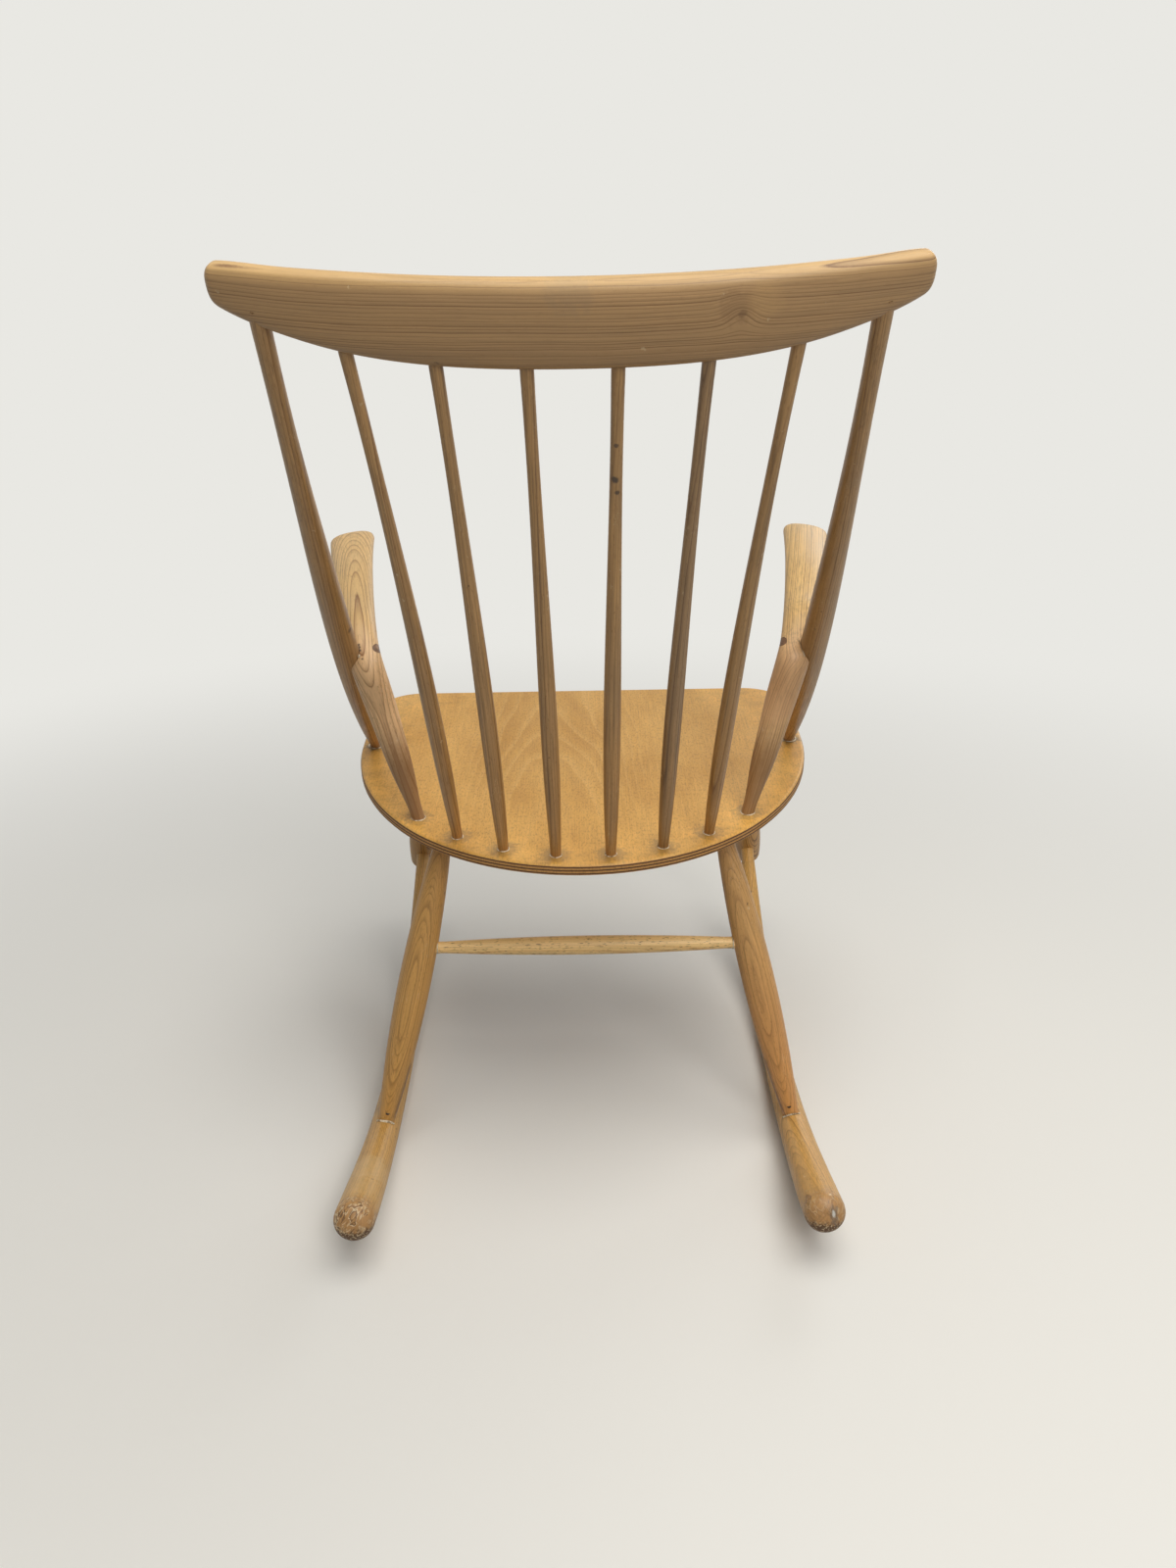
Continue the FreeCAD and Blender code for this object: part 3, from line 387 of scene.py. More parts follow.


# crest rail, with painted light along its upper edge and painted shade towards its lower edge

crestLook = dict(
    beechLook, light=tone(189, 151, 104), dark=tone(106, 71, 40), along=0, face=rear, pith=0.085, turn=52.0,
    bend=0.552, spacing=0.0027, wander=0.012, taper=0.004, seed=2.2, wear=0.0,
    fibreDepth=0.4, ringDepth=1.0, patchDepth=0.4, fleckDepth=0.12,
    # painted light along the upper edge and painted shade lower down
    topEdge=(0.9218, 0.236), paintedTopLightReach=(-0.014, -0.001), paintedTopLight=(1.3, 1.36, 1.22, 1),
    paintedLowShadeReach=(-0.07, -0.03), paintedLowShade=(0.86, 0.84, 0.82, 1),
    knot={"at": (-0.1162, 0.3964, 0.8974), "reach": 0.012, "swell": 0.009},
    marks=[((-0.1172, 0.3964, 0.8955), 0.0035, 0.006, tone(92, 62, 38), 0.5),
           ((-0.1135, 0.3964, 0.9005), 0.014, 0.02, tone(136, 100, 64), 0.3),
           ((-0.132, 0.3964, 0.9035), 0.014, 0.01, tone(206, 164, 108), 0.3),
           ((0.0015, 0.4084, 0.9118), 0.018, 0.03, tone(140, 122, 98), 0.2)])


def paintTopLightAndLowShade(tree, coords, color, rough, height, look):
    top, curve = look["topEdge"]  # height of the edge in the middle, and how it rises to the ends
    parts = split(tree, coords)
    edge = calc(tree, "ADD", times(tree, parts["X"], parts["X"], curve), top)
    below = calc(tree, "SUBTRACT", parts["Z"], edge)
    # painted light: paler along the upper edge
    color = blend(tree, remap(tree, below, *look["paintedTopLightReach"]), color, look["paintedTopLight"], "MULTIPLY")
    # painted shade: darker towards the lower edge
    paintedLowShade = remap(tree, below, *look["paintedLowShadeReach"], 1.0, 0.0)
    color = blend(tree, paintedLowShade, color, look["paintedLowShade"], "MULTIPLY")
    return color, rough, height


beech("crest_rail", crestLook, paintTopLightAndLowShade)
print("crest dressed")


# arms: foot, elbow and tip give the run of the grain; painted shade darkens the stick where it meets the seat

armLook = dict(
    beechLook, dark=tone(128, 82, 36), taper=0.0, wander=0.004, ringDepth=1.0, fibreDepth=0.55,
    patchDepth=0.5, rough=0.52, grade=(0.56, 0.612, (1.2, 1.21, 1.55, 1)), elbowReach=0.05,
    elbow=((0.176, 0.067, 0.388), (0.224, 0.056, 0.59), (0.272, -0.218, 0.628)),
    # painted shade: a dark soft spot at the foot of each stick, where it meets the seat
    stickFootShade=((0.178, 0.07, 0.405), 0.085, 0.02, tone(116, 78, 33), 0.75))
# painted shadow: dark dots along the lap seam of the left arm
seamShadow = tone(48, 32, 20)
armSides = {
    "left": {
        "light": tone(219, 181, 120), "spacing": 0.0020, "pith": 0.011, "turn": 180.0, "seed": 5.0,
        "wander": 0.003,
        "oval": {"flat": 0.05, "top": 0.05, "rise": 0.3, "bottom": -0.02, "slope": 0.12, "tongues": 0.06,
                 "soft": 0.03},
        "marks": [((0.2239, 0.067, 0.5797), 0.0016, 0.0006, seamShadow, 0.85),
                  ((0.2232, 0.069, 0.5776), 0.0016, 0.0006, seamShadow, 0.85),
                  ((0.2224, 0.0711, 0.575), 0.0016, 0.0006, seamShadow, 0.85),
                  ((0.2198, 0.0762, 0.5675), 0.0013, 0.0006, seamShadow, 0.8)]},
    "right": {
        "light": tone(217, 177, 111), "dark": tone(94, 54, 20), "spacing": 0.0028, "pith": 0.09, "turn": 90.0,
        "seed": 9.0, "fibreDepth": 0.75, "fleckDepth": 0.2,
        "knot": {"at": (-0.2245, 0.0767, 0.561), "reach": 0.013, "swell": 0.008},
        "marks": [((-0.211, 0.074, 0.53), 0.05, 0.02, tone(182, 138, 90), 0.5)]}}
for side, own in armSides.items():
    sign = sideSign[side]
    centre, *spread = armLook["stickFootShade"]
    elbow = [onSide(sign, point) for point in armLook["elbow"]]
    marks = own["marks"] + [(onSide(sign, centre), *spread)]
    beech(side + "_arm", {**armLook, **own, "elbow": elbow, "marks": marks})
print("arms dressed")


# legs and stretcher; painted shade darkens the crease where foot and runner meet

legLook = dict(
    beechLook, light=tone(207, 157, 85), dark=tone(104, 62, 26), face=(0, 1, 0.4), pith=0.06, spacing=0.0010,
    wander=0.007, fibreDepth=0.5, ringDepth=1.0)
creaseShade = {"top": (0.1991, 0.1016, 0.0996), "toe": (0.2175, 0.1118, 0.0445), "steps": 10,
          "dirtAndShade": (0.007, 0.004, tone(88, 60, 34), 0.42)}  # a painted shade mark without its centre
legSides = {
    "left": {"seed": 4.0, "turn": 176.0, "tilt": 0.4, "taper": 0.002, "ringDepth": 0.55},
    "right": {"seed": 6.5, "turn": 168.0, "tilt": 1.6, "taper": 0.02, "spacing": 0.0016, "ringDepth": 0.65,
              "light": tone(210, 162, 98), "grade": (0.1, 0.28, (1.06, 0.93, 0.84, 1))}}
for side, own in legSides.items():
    top, toe = [onSide(sideSign[side], creaseShade[end]) for end in ("top", "toe")]
    steps = creaseShade["steps"]
    # painted shade: a row of soft dark spots down the crease of each rear leg
    dirtAndShade = [(top.lerp(toe, step / steps), *creaseShade["dirtAndShade"]) for step in range(steps + 1)]
    beech(side + "_rear_leg", {**legLook, **own, "marks": dirtAndShade})
    beech(side + "_front_leg", dict(legLook, seed=own["seed"] + 11, turn=own["turn"] + 40))

# painted light: paler tones than the legs', for light that falls on the stretcher under the seat
paintedLightStretcherLook = dict(
    legLook, light=tone(250, 213, 146), dark=tone(216, 164, 102), fleck=tone(104, 66, 30), along=0, seed=8.8,
    turn=120.0, spacing=0.0022, fleckDepth=1.0)
beech("rear_stretcher", paintedLightStretcherLook)
print("legs and stretcher dressed")


# runners, scuffed and chipped at their rear tips, with wear and painted shade along the tip rims

# painted reflection: pale patches along the left runner
paintedReflection = tone(222, 190, 136)
runnerLook = dict(
    legLook, light=tone(212, 163, 84), dark=tone(116, 72, 32), along=1, face=(0, 0, 1), bend=-0.417,
    pith=0.09, spacing=0.0026, wear=0.4, ringDepth=0.8, tired=tone(158, 116, 80), crack=tone(70, 42, 22))
runnerSides = {
    "left": {
        "seed": 12.0, "turn": 110.0, "tip": (0.2335, 0.328, 0.064), "peel": 1.0, "strokes": (-0.6, -0.5, 0.6),
        "marks": [((0.2296, 0.2253, 0.0607), 0.03, 0.03, paintedReflection, 0.4),
                  ((0.2355, 0.268, 0.064), 0.03, 0.03, paintedReflection, 0.3)]},
    "right": {
        "seed": 13.5, "turn": 75.0, "tip": (-0.2335, 0.328, 0.062), "peel": 0.4, "strokes": (0.5, -0.6, 0.6),
        "light": tone(219, 168, 88), "blot": (-0.2385, 0.32, 0.0694),
        "scratch": (-0.2372, 0.3065, 0.0812)}}
tipWear = {
    "reach": 0.04, "ragged": 0.024, "tiredDepth": 0.65, "patchScale": 95.0, "patchCut": (0.32, 0.5),
    "strokeLength": 8.0, "strokeScale": 360.0, "gougeScale": 320.0, "strokeCut": (0.56, 0.63),
    "flakeLength": 2.5, "flakeScale": 115.0, "flakeLip": (0.5, 0.022), "flakeUnder": (0.535, 0.03),
    "gougeDepth": 0.7, "bareDepth": 0.8, "strokeHeight": 2.5,
    "rim": (0.054, 0.062), "rimDepth": 0.85, "rimRough": 0.25,
    "crumbScale": 330.0, "crumbSize": 0.022, "crumbHeight": 5.0,
    "chipScale": 430.0, "chipCut": (0.56, 0.64), "chipDepth": 0.8}
blotLook = {
    "flatten": (1, 0.45, 0.45), "wide": (0.0048, 0.016), "core": (0.0016, 0.006), "gloss": 0.4,
    "damp": tone(106, 92, 76), "dampDepth": 0.6, "paintedGlint": tone(222, 218, 208), "paintedGlintDepth": 0.8}
scratchLook = {
    "direction": (0.9, 0.2, -0.4), "stretch": 5.0, "radius": 0.0011, "ragged": 0.0008, "depth": 0.9}


def scuffTip(tree, coords, color, rough, height, look):
    seed, lie = look["seed"], Vector(look["strokes"]).normalized()
    near = spot(tree, coords, look["tip"], tipWear["reach"], tipWear["ragged"])
    patchy = remap(tree, noise(tree, coords, tipWear["patchScale"], seed=seed), *tipWear["patchCut"])
    worn = times(tree, patchy, near, look["peel"])
    strokes = drawnOut(tree, coords, lie, tipWear["strokeLength"])
    bright = noise(tree, strokes, tipWear["strokeScale"], 1.0, seed=seed)
    deep = noise(tree, strokes, tipWear["gougeScale"], 1.0, seed=seed + 4)
    flakes = drawnOut(tree, coords, lie, tipWear["flakeLength"])
    flakes = noise(tree, flakes, tipWear["flakeScale"], seed=seed)
    lip, under = line(tree, flakes, *tipWear["flakeLip"]), line(tree, flakes, *tipWear["flakeUnder"])
    bright = times(tree, calc(tree, "MAXIMUM", remap(tree, bright, *tipWear["strokeCut"]), lip), worn)
    deep = times(tree, calc(tree, "MAXIMUM", remap(tree, deep, *tipWear["strokeCut"]), under), worn)
    color = layOver(tree, color, near, tipWear["tiredDepth"], look["tired"])
    color = layOver(tree, color, deep, tipWear["gougeDepth"], look["crack"])
    color = layOver(tree, color, bright, tipWear["bareDepth"], look["bare"])
    crumbs = noise(tree, coords, tipWear["crumbScale"], 3.0, 0.6)
    ragged = times(tree, calc(tree, "SUBTRACT", crumbs, 0.5), tipWear["crumbSize"])
    low = calc(tree, "ADD", split(tree, coords)["Z"], ragged)
    # wear and painted shade: the floor-facing rim of each tip is darker
    rim = times(tree, remap(tree, low, *tipWear["rim"], 1.0, 0.0), near)
    chips = remap(tree, noise(tree, coords, tipWear["chipScale"]), *tipWear["chipCut"])
    color = layOver(tree, color, rim, tipWear["rimDepth"], look["crack"])
    color = layOver(tree, color, times(tree, rim, chips), tipWear["chipDepth"], look["bare"])
    rough = calc(tree, "ADD", rough, times(tree, rim, tipWear["rimRough"]))
    if "blot" in look:
        flat = scaled(tree, coords, blotLook["flatten"])
        centre = tuple(a * b for a, b in zip(look["blot"], blotLook["flatten"]))
        blot, core = [spot(tree, flat, centre, *blotLook[size]) for size in ("wide", "core")]
        color = layOver(tree, color, blot, blotLook["dampDepth"], blotLook["damp"])
        # painted highlight: a pale core in the grey blot
        color = layOver(tree, color, core, blotLook["paintedGlintDepth"], blotLook["paintedGlint"])
        rough = times(tree, rough, remap(tree, blot, 0, 1, 1.0, blotLook["gloss"]))
    if "scratch" in look:
        stretch, direction = scratchLook["stretch"], Vector(scratchLook["direction"]).normalized()
        centre = Vector(look["scratch"])
        centre = centre + direction * (1 / stretch - 1) * centre.dot(direction)
        drawn = drawnOut(tree, coords, direction, stretch)
        cut = spot(tree, drawn, centre, scratchLook["radius"], scratchLook["ragged"])
        color = layOver(tree, color, cut, scratchLook["depth"], look["bare"])
    scars = times(tree, calc(tree, "SUBTRACT", bright, deep), tipWear["strokeHeight"])
    height = calc(tree, "ADD", height, scars)
    height = calc(tree, "SUBTRACT", height, times(tree, rim, crumbs, tipWear["crumbHeight"]))
    return color, rough, height


for side, own in runnerSides.items():
    beech(side + "_runner", {**runnerLook, **own}, scuffTip)
print("runners dressed")

bearerLook = dict(beechLook, along=0, face=(0, 0, 1), coat=0.0, rough=0.6, wear=0.1)
for name, seed in (("rear_bearer", 15.0), ("front_bearer", 16.0)):
    beech(name, dict(bearerLook, seed=seed))
pegLook = dict(
    beechLook, along=0, light=tone(120, 84, 52), dark=tone(66, 42, 26), pith=0.003, spacing=0.0012,
    marks=[((0.2045, 0.0643, 0.578), 0.0038, 0.002, tone(168, 128, 92), 0.6)])
beech("arm_pegs", pegLook)
print("bearers and pegs dressed")


# seat: lacquered face veneer, bare layers at the edge, darker round the sticks, painted light towards the
# rear and the sides

seatLook = {
    "middle": (0, -0.0779, 0.405), "slope": -6.6, "thickness": 0.013,
    "circle": 0.228, "angles": (7.0, 21.0, 35.0, 50.5), "postHole": (0.2455, -0.0315),
    "light": tone(215, 165, 82), "dark": tone(192, 142, 64),
    "flame": tone(150, 100, 42), "flameDepth": 0.16, "pale": tone(228, 186, 120), "paleDepth": 0.26,
    "flameAside": 0.035, "flameCurve": 90.0, "flameRun": -1.4, "flameDrift": 0.8, "flameLines": 6.0,
    "figured": ((0.03, -0.02, 0), 0.11, 0.1), "fibreDepth": 0.45,
    "fleck": tone(130, 86, 36), "fleckDepth": 0.45, "fleckCut": (0.46, 0.7),
    # painted light towards the rear
    "paintedRearLightReach": (-0.12, 0.2), "paintedRearLight": [(0.0, 1.0), (0.4, 1.0), (1.0, 1.16)],
    # painted light towards the sides
    "paintedSideLight": (1.15, 1.15, 1.15, 1), "paintedSideLightReach": (0.1, 0.2),
    # painted light and shade in ripples near the rim
    "rimReach": (0.19, 0.225), "rimDents": [(0.3, 0.89), (0.5, 1.02), (0.7, 1.13)],
    "grime": tone(122, 100, 66), "grimeSpot": (0.017, 0.024), "grimeDepth": 0.45,
    "lint": tone(86, 76, 60), "lintSpot": (0.013, 0.02), "lintDepth": 0.75,
    "layer": tone(200, 148, 84), "glueLine": tone(72, 42, 18), "layerRagged": 0.03, "poreDepth": 0.7,
    "rough": (0.4, 0.52), "edgeRough": 0.25, "coat": 0.06, "coatRough": 0.3}


def stickFeet(look):
    turns = [math.radians(angle) for angle in look["angles"]]
    return [(look["circle"] * math.sin(a), look["circle"] * math.cos(a)) for a in turns] + [look["postHole"]]


def veneerFigure(tree, place, look):  # tall arches of the veneer, dark on one side and pale on the other
    parts = split(tree, place)
    across = calc(tree, "ADD", parts["X"], -look["flameAside"])
    drift = noise(tree, scaled(tree, place, (1, 0.4, 1)), 9.0, 2.0, 0.4)
    arch = times(tree, across, across, look["flameCurve"])
    arch = calc(tree, "ADD", arch, times(tree, parts["Y"], look["flameRun"]))
    arch = calc(tree, "ADD", arch, times(tree, drift, look["flameDrift"]))
    contour = calc(tree, "FRACT", times(tree, arch, look["flameLines"]))
    flame = ramp(tree, contour, [(0.0, 0.0), (0.5, 0.25), (0.86, 1.0), (0.94, 0.6), (1.0, 0.0)])
    pale = ramp(tree, contour, [(0.0, 1.0), (0.12, 0.6), (0.4, 0.0), (1.0, 0.0)])
    figured = spot(tree, scaled(tree, place, (1, 0.55, 1)), *look["figured"])
    figured = calc(tree, "ADD", times(tree, figured, 0.75), 0.25)
    return times(tree, flame, figured), times(tree, pale, figured)


def seatFace(tree, place, mottle, fibre, look):
    parts = split(tree, place)
    aside = calc(tree, "ABSOLUTE", parts["X"])
    mirrored = join(tree, X=aside, Y=parts["Y"])
    flame, pale = veneerFigure(tree, place, look)
    dashes = noise(tree, scaled(tree, place, (1, 0.4, 1)), 520.0, 3.0, 0.65)
    streaky = ramp(tree, fibre, [(0.3, 0.72), (0.5, 1.0), (0.7, 1.18)])
    color = blend(tree, remap(tree, mottle, 0.25, 0.75), look["light"], look["dark"])
    color = layOver(tree, color, flame, look["flameDepth"], look["flame"])
    color = layOver(tree, color, pale, look["paleDepth"], look["pale"])
    color = blend(tree, look["fibreDepth"], color, streaky, "MULTIPLY")
    color = layOver(tree, color, remap(tree, dashes, *look["fleckCut"]), look["fleckDepth"], look["fleck"])
    # painted light: paler towards the rear
    toRear = remap(tree, parts["Y"], *look["paintedRearLightReach"], 0, 1, False)
    color = blend(tree, 1.0, color, ramp(tree, toRear, look["paintedRearLight"]), "MULTIPLY")
    paintedSideLight = remap(tree, aside, *look["paintedSideLightReach"])  # painted light: paler towards both sides than in the middle
    color = blend(tree, paintedSideLight, color, look["paintedSideLight"], "MULTIPLY")
    # painted light and shade: ripples near the rim, lighter and darker as a glancing light shows them
    dents = ramp(tree, noise(tree, scaled(tree, place, (1, 1.6, 1)), 40.0), look["rimDents"])
    nearRim = remap(tree, vectorCalc(tree, "LENGTH", mirrored), *look["rimReach"])
    color = blend(tree, nearRim, color, dents, "MULTIPLY")
    # darker round each stick foot
    for x, y in stickFeet(look):
        grime = spot(tree, mirrored, (x, y, 0), *look["grimeSpot"])
        color = layOver(tree, color, grime, look["grimeDepth"], look["grime"])
    lint = spot(tree, mirrored, (*look["postHole"], 0), *look["lintSpot"])
    return layOver(tree, color, lint, look["lintDepth"], look["lint"])


def plyEdge(tree, place, look):  # four layers with dark glue lines between, and where the edge shows them
    depth = calc(tree, "DIVIDE", split(tree, place)["Z"], -look["thickness"])
    ragged = noise(tree, scaled(tree, place, (1, 1, 0.1)), 60.0)
    ragged = times(tree, calc(tree, "SUBTRACT", ragged, 0.5), look["layerRagged"])
    depth = calc(tree, "ADD", depth, ragged)
    stops = [(0.0, "layer"), (0.12, "layer"), (0.17, "glueLine"), (0.23, "glueLine"), (0.28, "layer"),
             (0.40, "layer"), (0.45, "glueLine"), (0.51, "glueLine"), (0.56, "layer"), (0.68, "layer"),
             (0.73, "glueLine"), (0.79, "glueLine"), (0.84, "layer"), (0.93, "layer"), (0.99, "glueLine")]
    layers = ramp(tree, depth, [(at, look[kind]) for at, kind in stops], "LINEAR")
    pores = noise(tree, scaled(tree, place, (1, 1, 0.5)), 700.0)
    pores = ramp(tree, pores, [(0.3, 0.62), (0.55, 1.0), (0.75, 1.12)])
    layers = blend(tree, look["poreDepth"], layers, pores, "MULTIPLY")
    inside = times(tree, remap(tree, depth, 0.1, 0.15), remap(tree, depth, 0.97, 0.995, 1.0, 0.0))
    return layers, inside


def dressSeat(look):
    material, tree, surface, coords = newMaterial("seatVeneer")
    place = localPlace(tree, coords, look["middle"], (math.radians(look["slope"]), 0, 0))
    mottle = noise(tree, scaled(tree, place, (1, 0.5, 1)), 15.0, 4.0, 0.55)
    fibre = noise(tree, scaled(tree, place, (1, 0.03, 1)), 620.0, 3.0, 0.6)
    layers, inside = plyEdge(tree, place, look)
    color = blend(tree, inside, seatFace(tree, place, mottle, fibre, look), layers)
    tree.links.new(color, surface.inputs["Base Color"])
    rough = remap(tree, mottle, 0.3, 0.7, *look["rough"], False)
    rough = calc(tree, "ADD", rough, times(tree, inside, look["edgeRough"]))
    tree.links.new(rough, surface.inputs["Roughness"])
    surface.inputs["Coat Weight"].default_value = look["coat"]
    surface.inputs["Coat Roughness"].default_value = look["coatRough"]
    ripple = noise(tree, place, 34.0, 2.0, 0.4)  # the pressed face isn't quite flat
    wave = addNode(tree, "ShaderNodeBump", inputs={"Height": ripple, "Strength": 0.12, "Distance": 0.006})
    bump = addNode(tree, "ShaderNodeBump", inputs={
        "Height": fibre, "Strength": 0.15, "Distance": 0.0004, "Normal": wave.outputs[0]})
    tree.links.new(bump.outputs[0], surface.inputs["Normal"])
    dress("seat", material)


dressSeat(seatLook)
print("seat dressed")


# steel of the hidden screws and the foot nails

steelLooks = {
    "bearer_screws": {"color": tone(150, 146, 140), "rough": (0.35, 0.65)},
    "foot_nails": {"color": tone(62, 54, 46), "rough": (0.5, 0.8)}}
rustLook = {"color": tone(74, 52, 38), "depth": 0.6, "scale": 700.0, "cut": (0.45, 0.65), "metal": 0.8}
for name, look in steelLooks.items():
    material, tree, surface, coords = newMaterial(name + "Steel")
    rust = remap(tree, noise(tree, coords, rustLook["scale"], 3.0), *rustLook["cut"])
    color = layOver(tree, look["color"], rust, rustLook["depth"], rustLook["color"])
    tree.links.new(color, surface.inputs["Base Color"])
    tree.links.new(remap(tree, rust, 0, 1, *look["rough"], False), surface.inputs["Roughness"])
    surface.inputs["Metallic"].default_value = rustLook["metal"]
    dress(name, material)
print("steel dressed")


# dried glue that was squeezed out round the sticks, the stretcher, the laps and the rear feet

glueLook = {
    "color": tone(226, 211, 182), "dirtAndShade": tone(150, 126, 92), "dirtCut": (0.44, 0.6), "rough": (0.35, 0.6),
    "bead": 0.0009, "ringLumps": 0.55, "stripLumps": 0.6, "overlap": 0.25,
    "stickRadius": (0.0058, 0.0058, 0.0058, 0.0072, 0.0084), "stretcher": 0.163, "stretcherRadius": 0.0068,
    "shoulderBead": {1: 0.0014, -1: 0.0009},
    "shoulder": ((0.2206, 0.1196, 0.0358), (0.2232, 0.1209, 0.0384), (0.2261, 0.1216, 0.0399),
                 (0.2289, 0.1218, 0.0407), (0.2312, 0.1217, 0.041), (0.234, 0.121, 0.0409),
                 (0.2367, 0.1199, 0.0403), (0.2384, 0.119, 0.0398)),
    "laps": ((0.0011, ((0.2228, 0.0735, 0.5712), (0.2233, 0.075, 0.5684))),
             (0.0006, ((-0.2216, 0.0691, 0.5775), (-0.2234, 0.0721, 0.572),
                       (-0.2251, 0.0752, 0.5678), (-0.2271, 0.0762, 0.562))))}


def roughen(offset, seed):  # lumpy, as glue dries
    bpy.ops.transform.vertex_random(offset=offset, uniform=0.2, normal=0.6, seed=seed)
    bpy.ops.mesh.vertices_smooth(factor=0.5, repeat=2)
    bpy.ops.object.mode_set(mode="OBJECT")
    return bpy.context.object


def glueRing(place, angles, radius, bead, seed):
    bpy.ops.mesh.primitive_torus_add(location=place, rotation=angles, major_radius=radius, minor_radius=bead,
                                     major_segments=40, minor_segments=8)
    bpy.ops.object.mode_set(mode="EDIT")
    bpy.ops.mesh.select_all(action="SELECT")
    return roughen(bead * glueLook["ringLumps"], seed)


def glueStrip(start, end, bead, seed):
    run = end - start
    bpy.ops.mesh.primitive_cylinder_add(vertices=8, radius=bead, depth=run.length, location=(start + end) / 2,
                                        rotation=run.to_track_quat("Z", "Y").to_euler())
    bpy.ops.object.mode_set(mode="EDIT")
    bpy.ops.mesh.select_all(action="SELECT")
    bpy.ops.mesh.subdivide(number_cuts=5)
    return roughen(bead * glueLook["stripLumps"], seed)


def makeGlue(look):
    beads = []
    slope = math.radians(seatLook["slope"])
    turn = Matrix.Rotation(slope, 4, "X")
    for sign in (1, -1):
        for number, (x, y) in enumerate(stickFeet(seatLook)):
            place = Vector(seatLook["middle"]) + turn @ Vector((sign * x, y, 0))
            seed = number + 5 * sign + 6
            beads.append(glueRing(place, (slope, 0, 0), look["stickRadius"][number], look["bead"], seed))
    middle = sum(endsOf("rear_stretcher", 0), Vector()) / 2
    for sign in (1, -1):
        place = (sign * look["stretcher"], middle.y, middle.z)
        beads.append(glueRing(place, (0, math.pi / 2, 0), look["stretcherRadius"], look["bead"], 20 + sign))
        course = [onSide(sign, point) for point in look["shoulder"]]
        for step, (start, end) in enumerate(zip(course, course[1:])):
            over = (end - start) * look["overlap"]
            seed = 30 + 10 * step + sign
            beads.append(glueStrip(start - over, end + over, look["shoulderBead"][sign], seed))
    for bead, course in look["laps"]:
        course = [Vector(point) for point in course]
        beads += [glueStrip(start, end, bead, 90) for start, end in zip(course, course[1:])]
    bpy.ops.object.select_all(action="DESELECT")
    for bead in beads:
        bead.select_set(True)
    bpy.context.view_layer.objects.active = beads[0]
    bpy.ops.object.join()
    glue = bpy.context.object
    bpy.ops.object.transform_apply(location=True, rotation=True, scale=True)
    bpy.ops.object.shade_smooth()
    glue.name = "driedGlue"
    material, tree, surface, coords = newMaterial("driedGlue")
    dirtAndShade = remap(tree, noise(tree, coords, 230.0, 3.0, 0.6), *look["dirtCut"])
    tree.links.new(blend(tree, dirtAndShade, look["color"], look["dirtAndShade"]), surface.inputs["Base Color"])
    tree.links.new(remap(tree, dirtAndShade, 0, 1, *look["rough"], False), surface.inputs["Roughness"])
    glue.data.materials.clear()
    glue.data.materials.append(material)
    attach(glue, "root")


makeGlue(glueLook)
print("dried glue made")


# floor that fades into the pale background; scattered light meets it darker, so little comes up from it

studio = {"floor": tone(246, 244, 238), "bounce": tone(160, 156, 148), "background": tone(233, 232, 227),
          "fadeFrom": 0.55, "fadeTo": 2.2, "size": 60.0, "rough": 0.9, "gloss": 0.1,
          "air": tone(228, 231, 233), "airStrength": 0.2}


def shownRays(tree):  # the rays that see floor and background as pale: straight, mirrored or through glass
    path = addNode(tree, "ShaderNodeLightPath").outputs
    mirrored = calc(tree, "MAXIMUM", path["Is Glossy Ray"], path["Is Transmission Ray"])
    return calc(tree, "MAXIMUM", path["Is Camera Ray"], mirrored)


def layFloor(look):
    bpy.ops.mesh.primitive_plane_add(size=look["size"], location=(0, 0, 0))
    floor = bpy.context.object
    floor.name = "studioFloor"
    material, tree, surface, coords = newMaterial("palePaper")
    output = surface.outputs[0].links[0].to_node
    seen = shownRays(tree)
    tree.links.new(blend(tree, seen, look["bounce"], look["floor"]), surface.inputs["Base Color"])
    surface.inputs["Roughness"].default_value = look["rough"]
    surface.inputs["Specular IOR Level"].default_value = look["gloss"]
    fade = remap(tree, vectorCalc(tree, "LENGTH", coords), look["fadeFrom"], look["fadeTo"])
    glow = addNode(tree, "ShaderNodeEmission", inputs={"Color": look["background"], "Strength": 1.0})
    mixed = addNode(tree, "ShaderNodeMixShader", inputs={
        0: times(tree, fade, seen), 1: surface.outputs[0], 2: glow.outputs[0]})
    tree.links.new(mixed.outputs[0], output.inputs["Surface"])
    floor.data.materials.append(material)


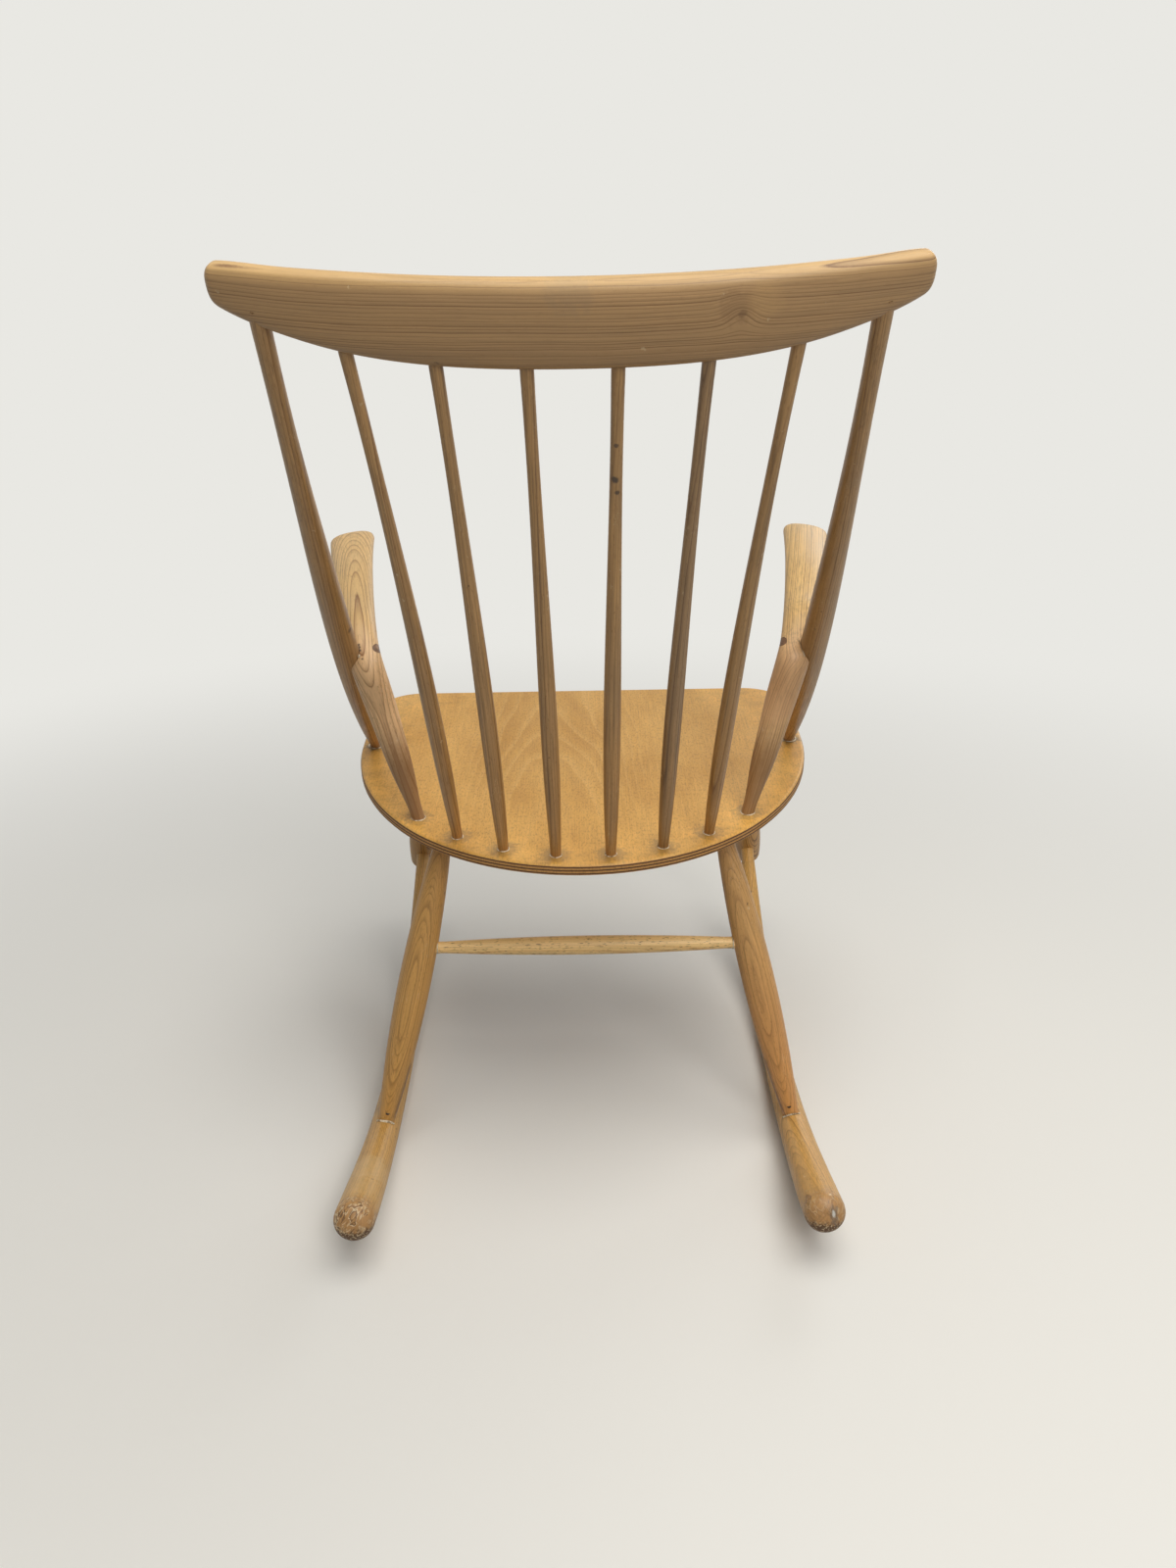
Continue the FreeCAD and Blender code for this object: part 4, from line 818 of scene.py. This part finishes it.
layFloor(studio)

lights = {
    "overhead": {"place": (-0.5, 0.7, 3.1), "aim": (0, 0, 0.4), "size": 3.0, "power": 60.0,
                 "color": (1.0, 0.975, 0.93)},
    "rearHigh": {"place": (-1.0, 3.0, 2.4), "aim": (0, 0, 0.5), "size": 1.6, "power": 39.0,
                 "color": (1.0, 0.98, 0.95)},
    "front": {"place": (-1.9, -3.0, 1.9), "aim": (0, 0, 0.5), "size": 2.0, "power": 23.0,
              "color": (0.96, 0.98, 1.0)}}
for name, look in lights.items():
    toAim = Vector(look["aim"]) - Vector(look["place"])
    angles = toAim.to_track_quat("-Z", "Y").to_euler()
    bpy.ops.object.light_add(type="AREA", location=look["place"], rotation=angles)
    lamp = bpy.context.object
    lamp.name = name + "Lamp"
    lamp.data.shape = "DISK"
    lamp.data.size = look["size"]
    lamp.data.energy = look["power"]
    lamp.data.color = look["color"]

world = bpy.data.worlds.new("studioAir")
scene.world = world
world.use_nodes = True
air = world.node_tree
air.nodes.clear()
dim = addNode(air, "ShaderNodeBackground", inputs={"Color": studio["air"], "Strength": studio["airStrength"]})
pale = addNode(air, "ShaderNodeBackground", inputs={"Color": studio["background"], "Strength": 1.0})
sky = addNode(air, "ShaderNodeMixShader", inputs={0: shownRays(air), 1: dim.outputs[0], 2: pale.outputs[0]})
addNode(air, "ShaderNodeOutputWorld", inputs={"Surface": sky.outputs[0]})
print("floor, lamps and background set")


# camera where the photograph was taken from: behind the chair, level with its crest, looking down

view = {"place": (-0.0059, 1.3209, 0.9176), "down": 21.49, "roll": -0.0172, "lens": 29.25, "sensor": 36.0}
aim = Matrix.Rotation(math.pi, 3, "Z") @ Matrix.Rotation(math.radians(90 - view["down"]), 3, "X")
aim = aim @ Matrix.Rotation(view["roll"], 3, "Z")
bpy.ops.object.camera_add(location=view["place"], rotation=aim.to_euler())
camera = bpy.context.object
camera.name = "photoCamera"
camera.data.lens = view["lens"]
camera.data.sensor_width = view["sensor"]
scene.camera = camera
print("camera set")
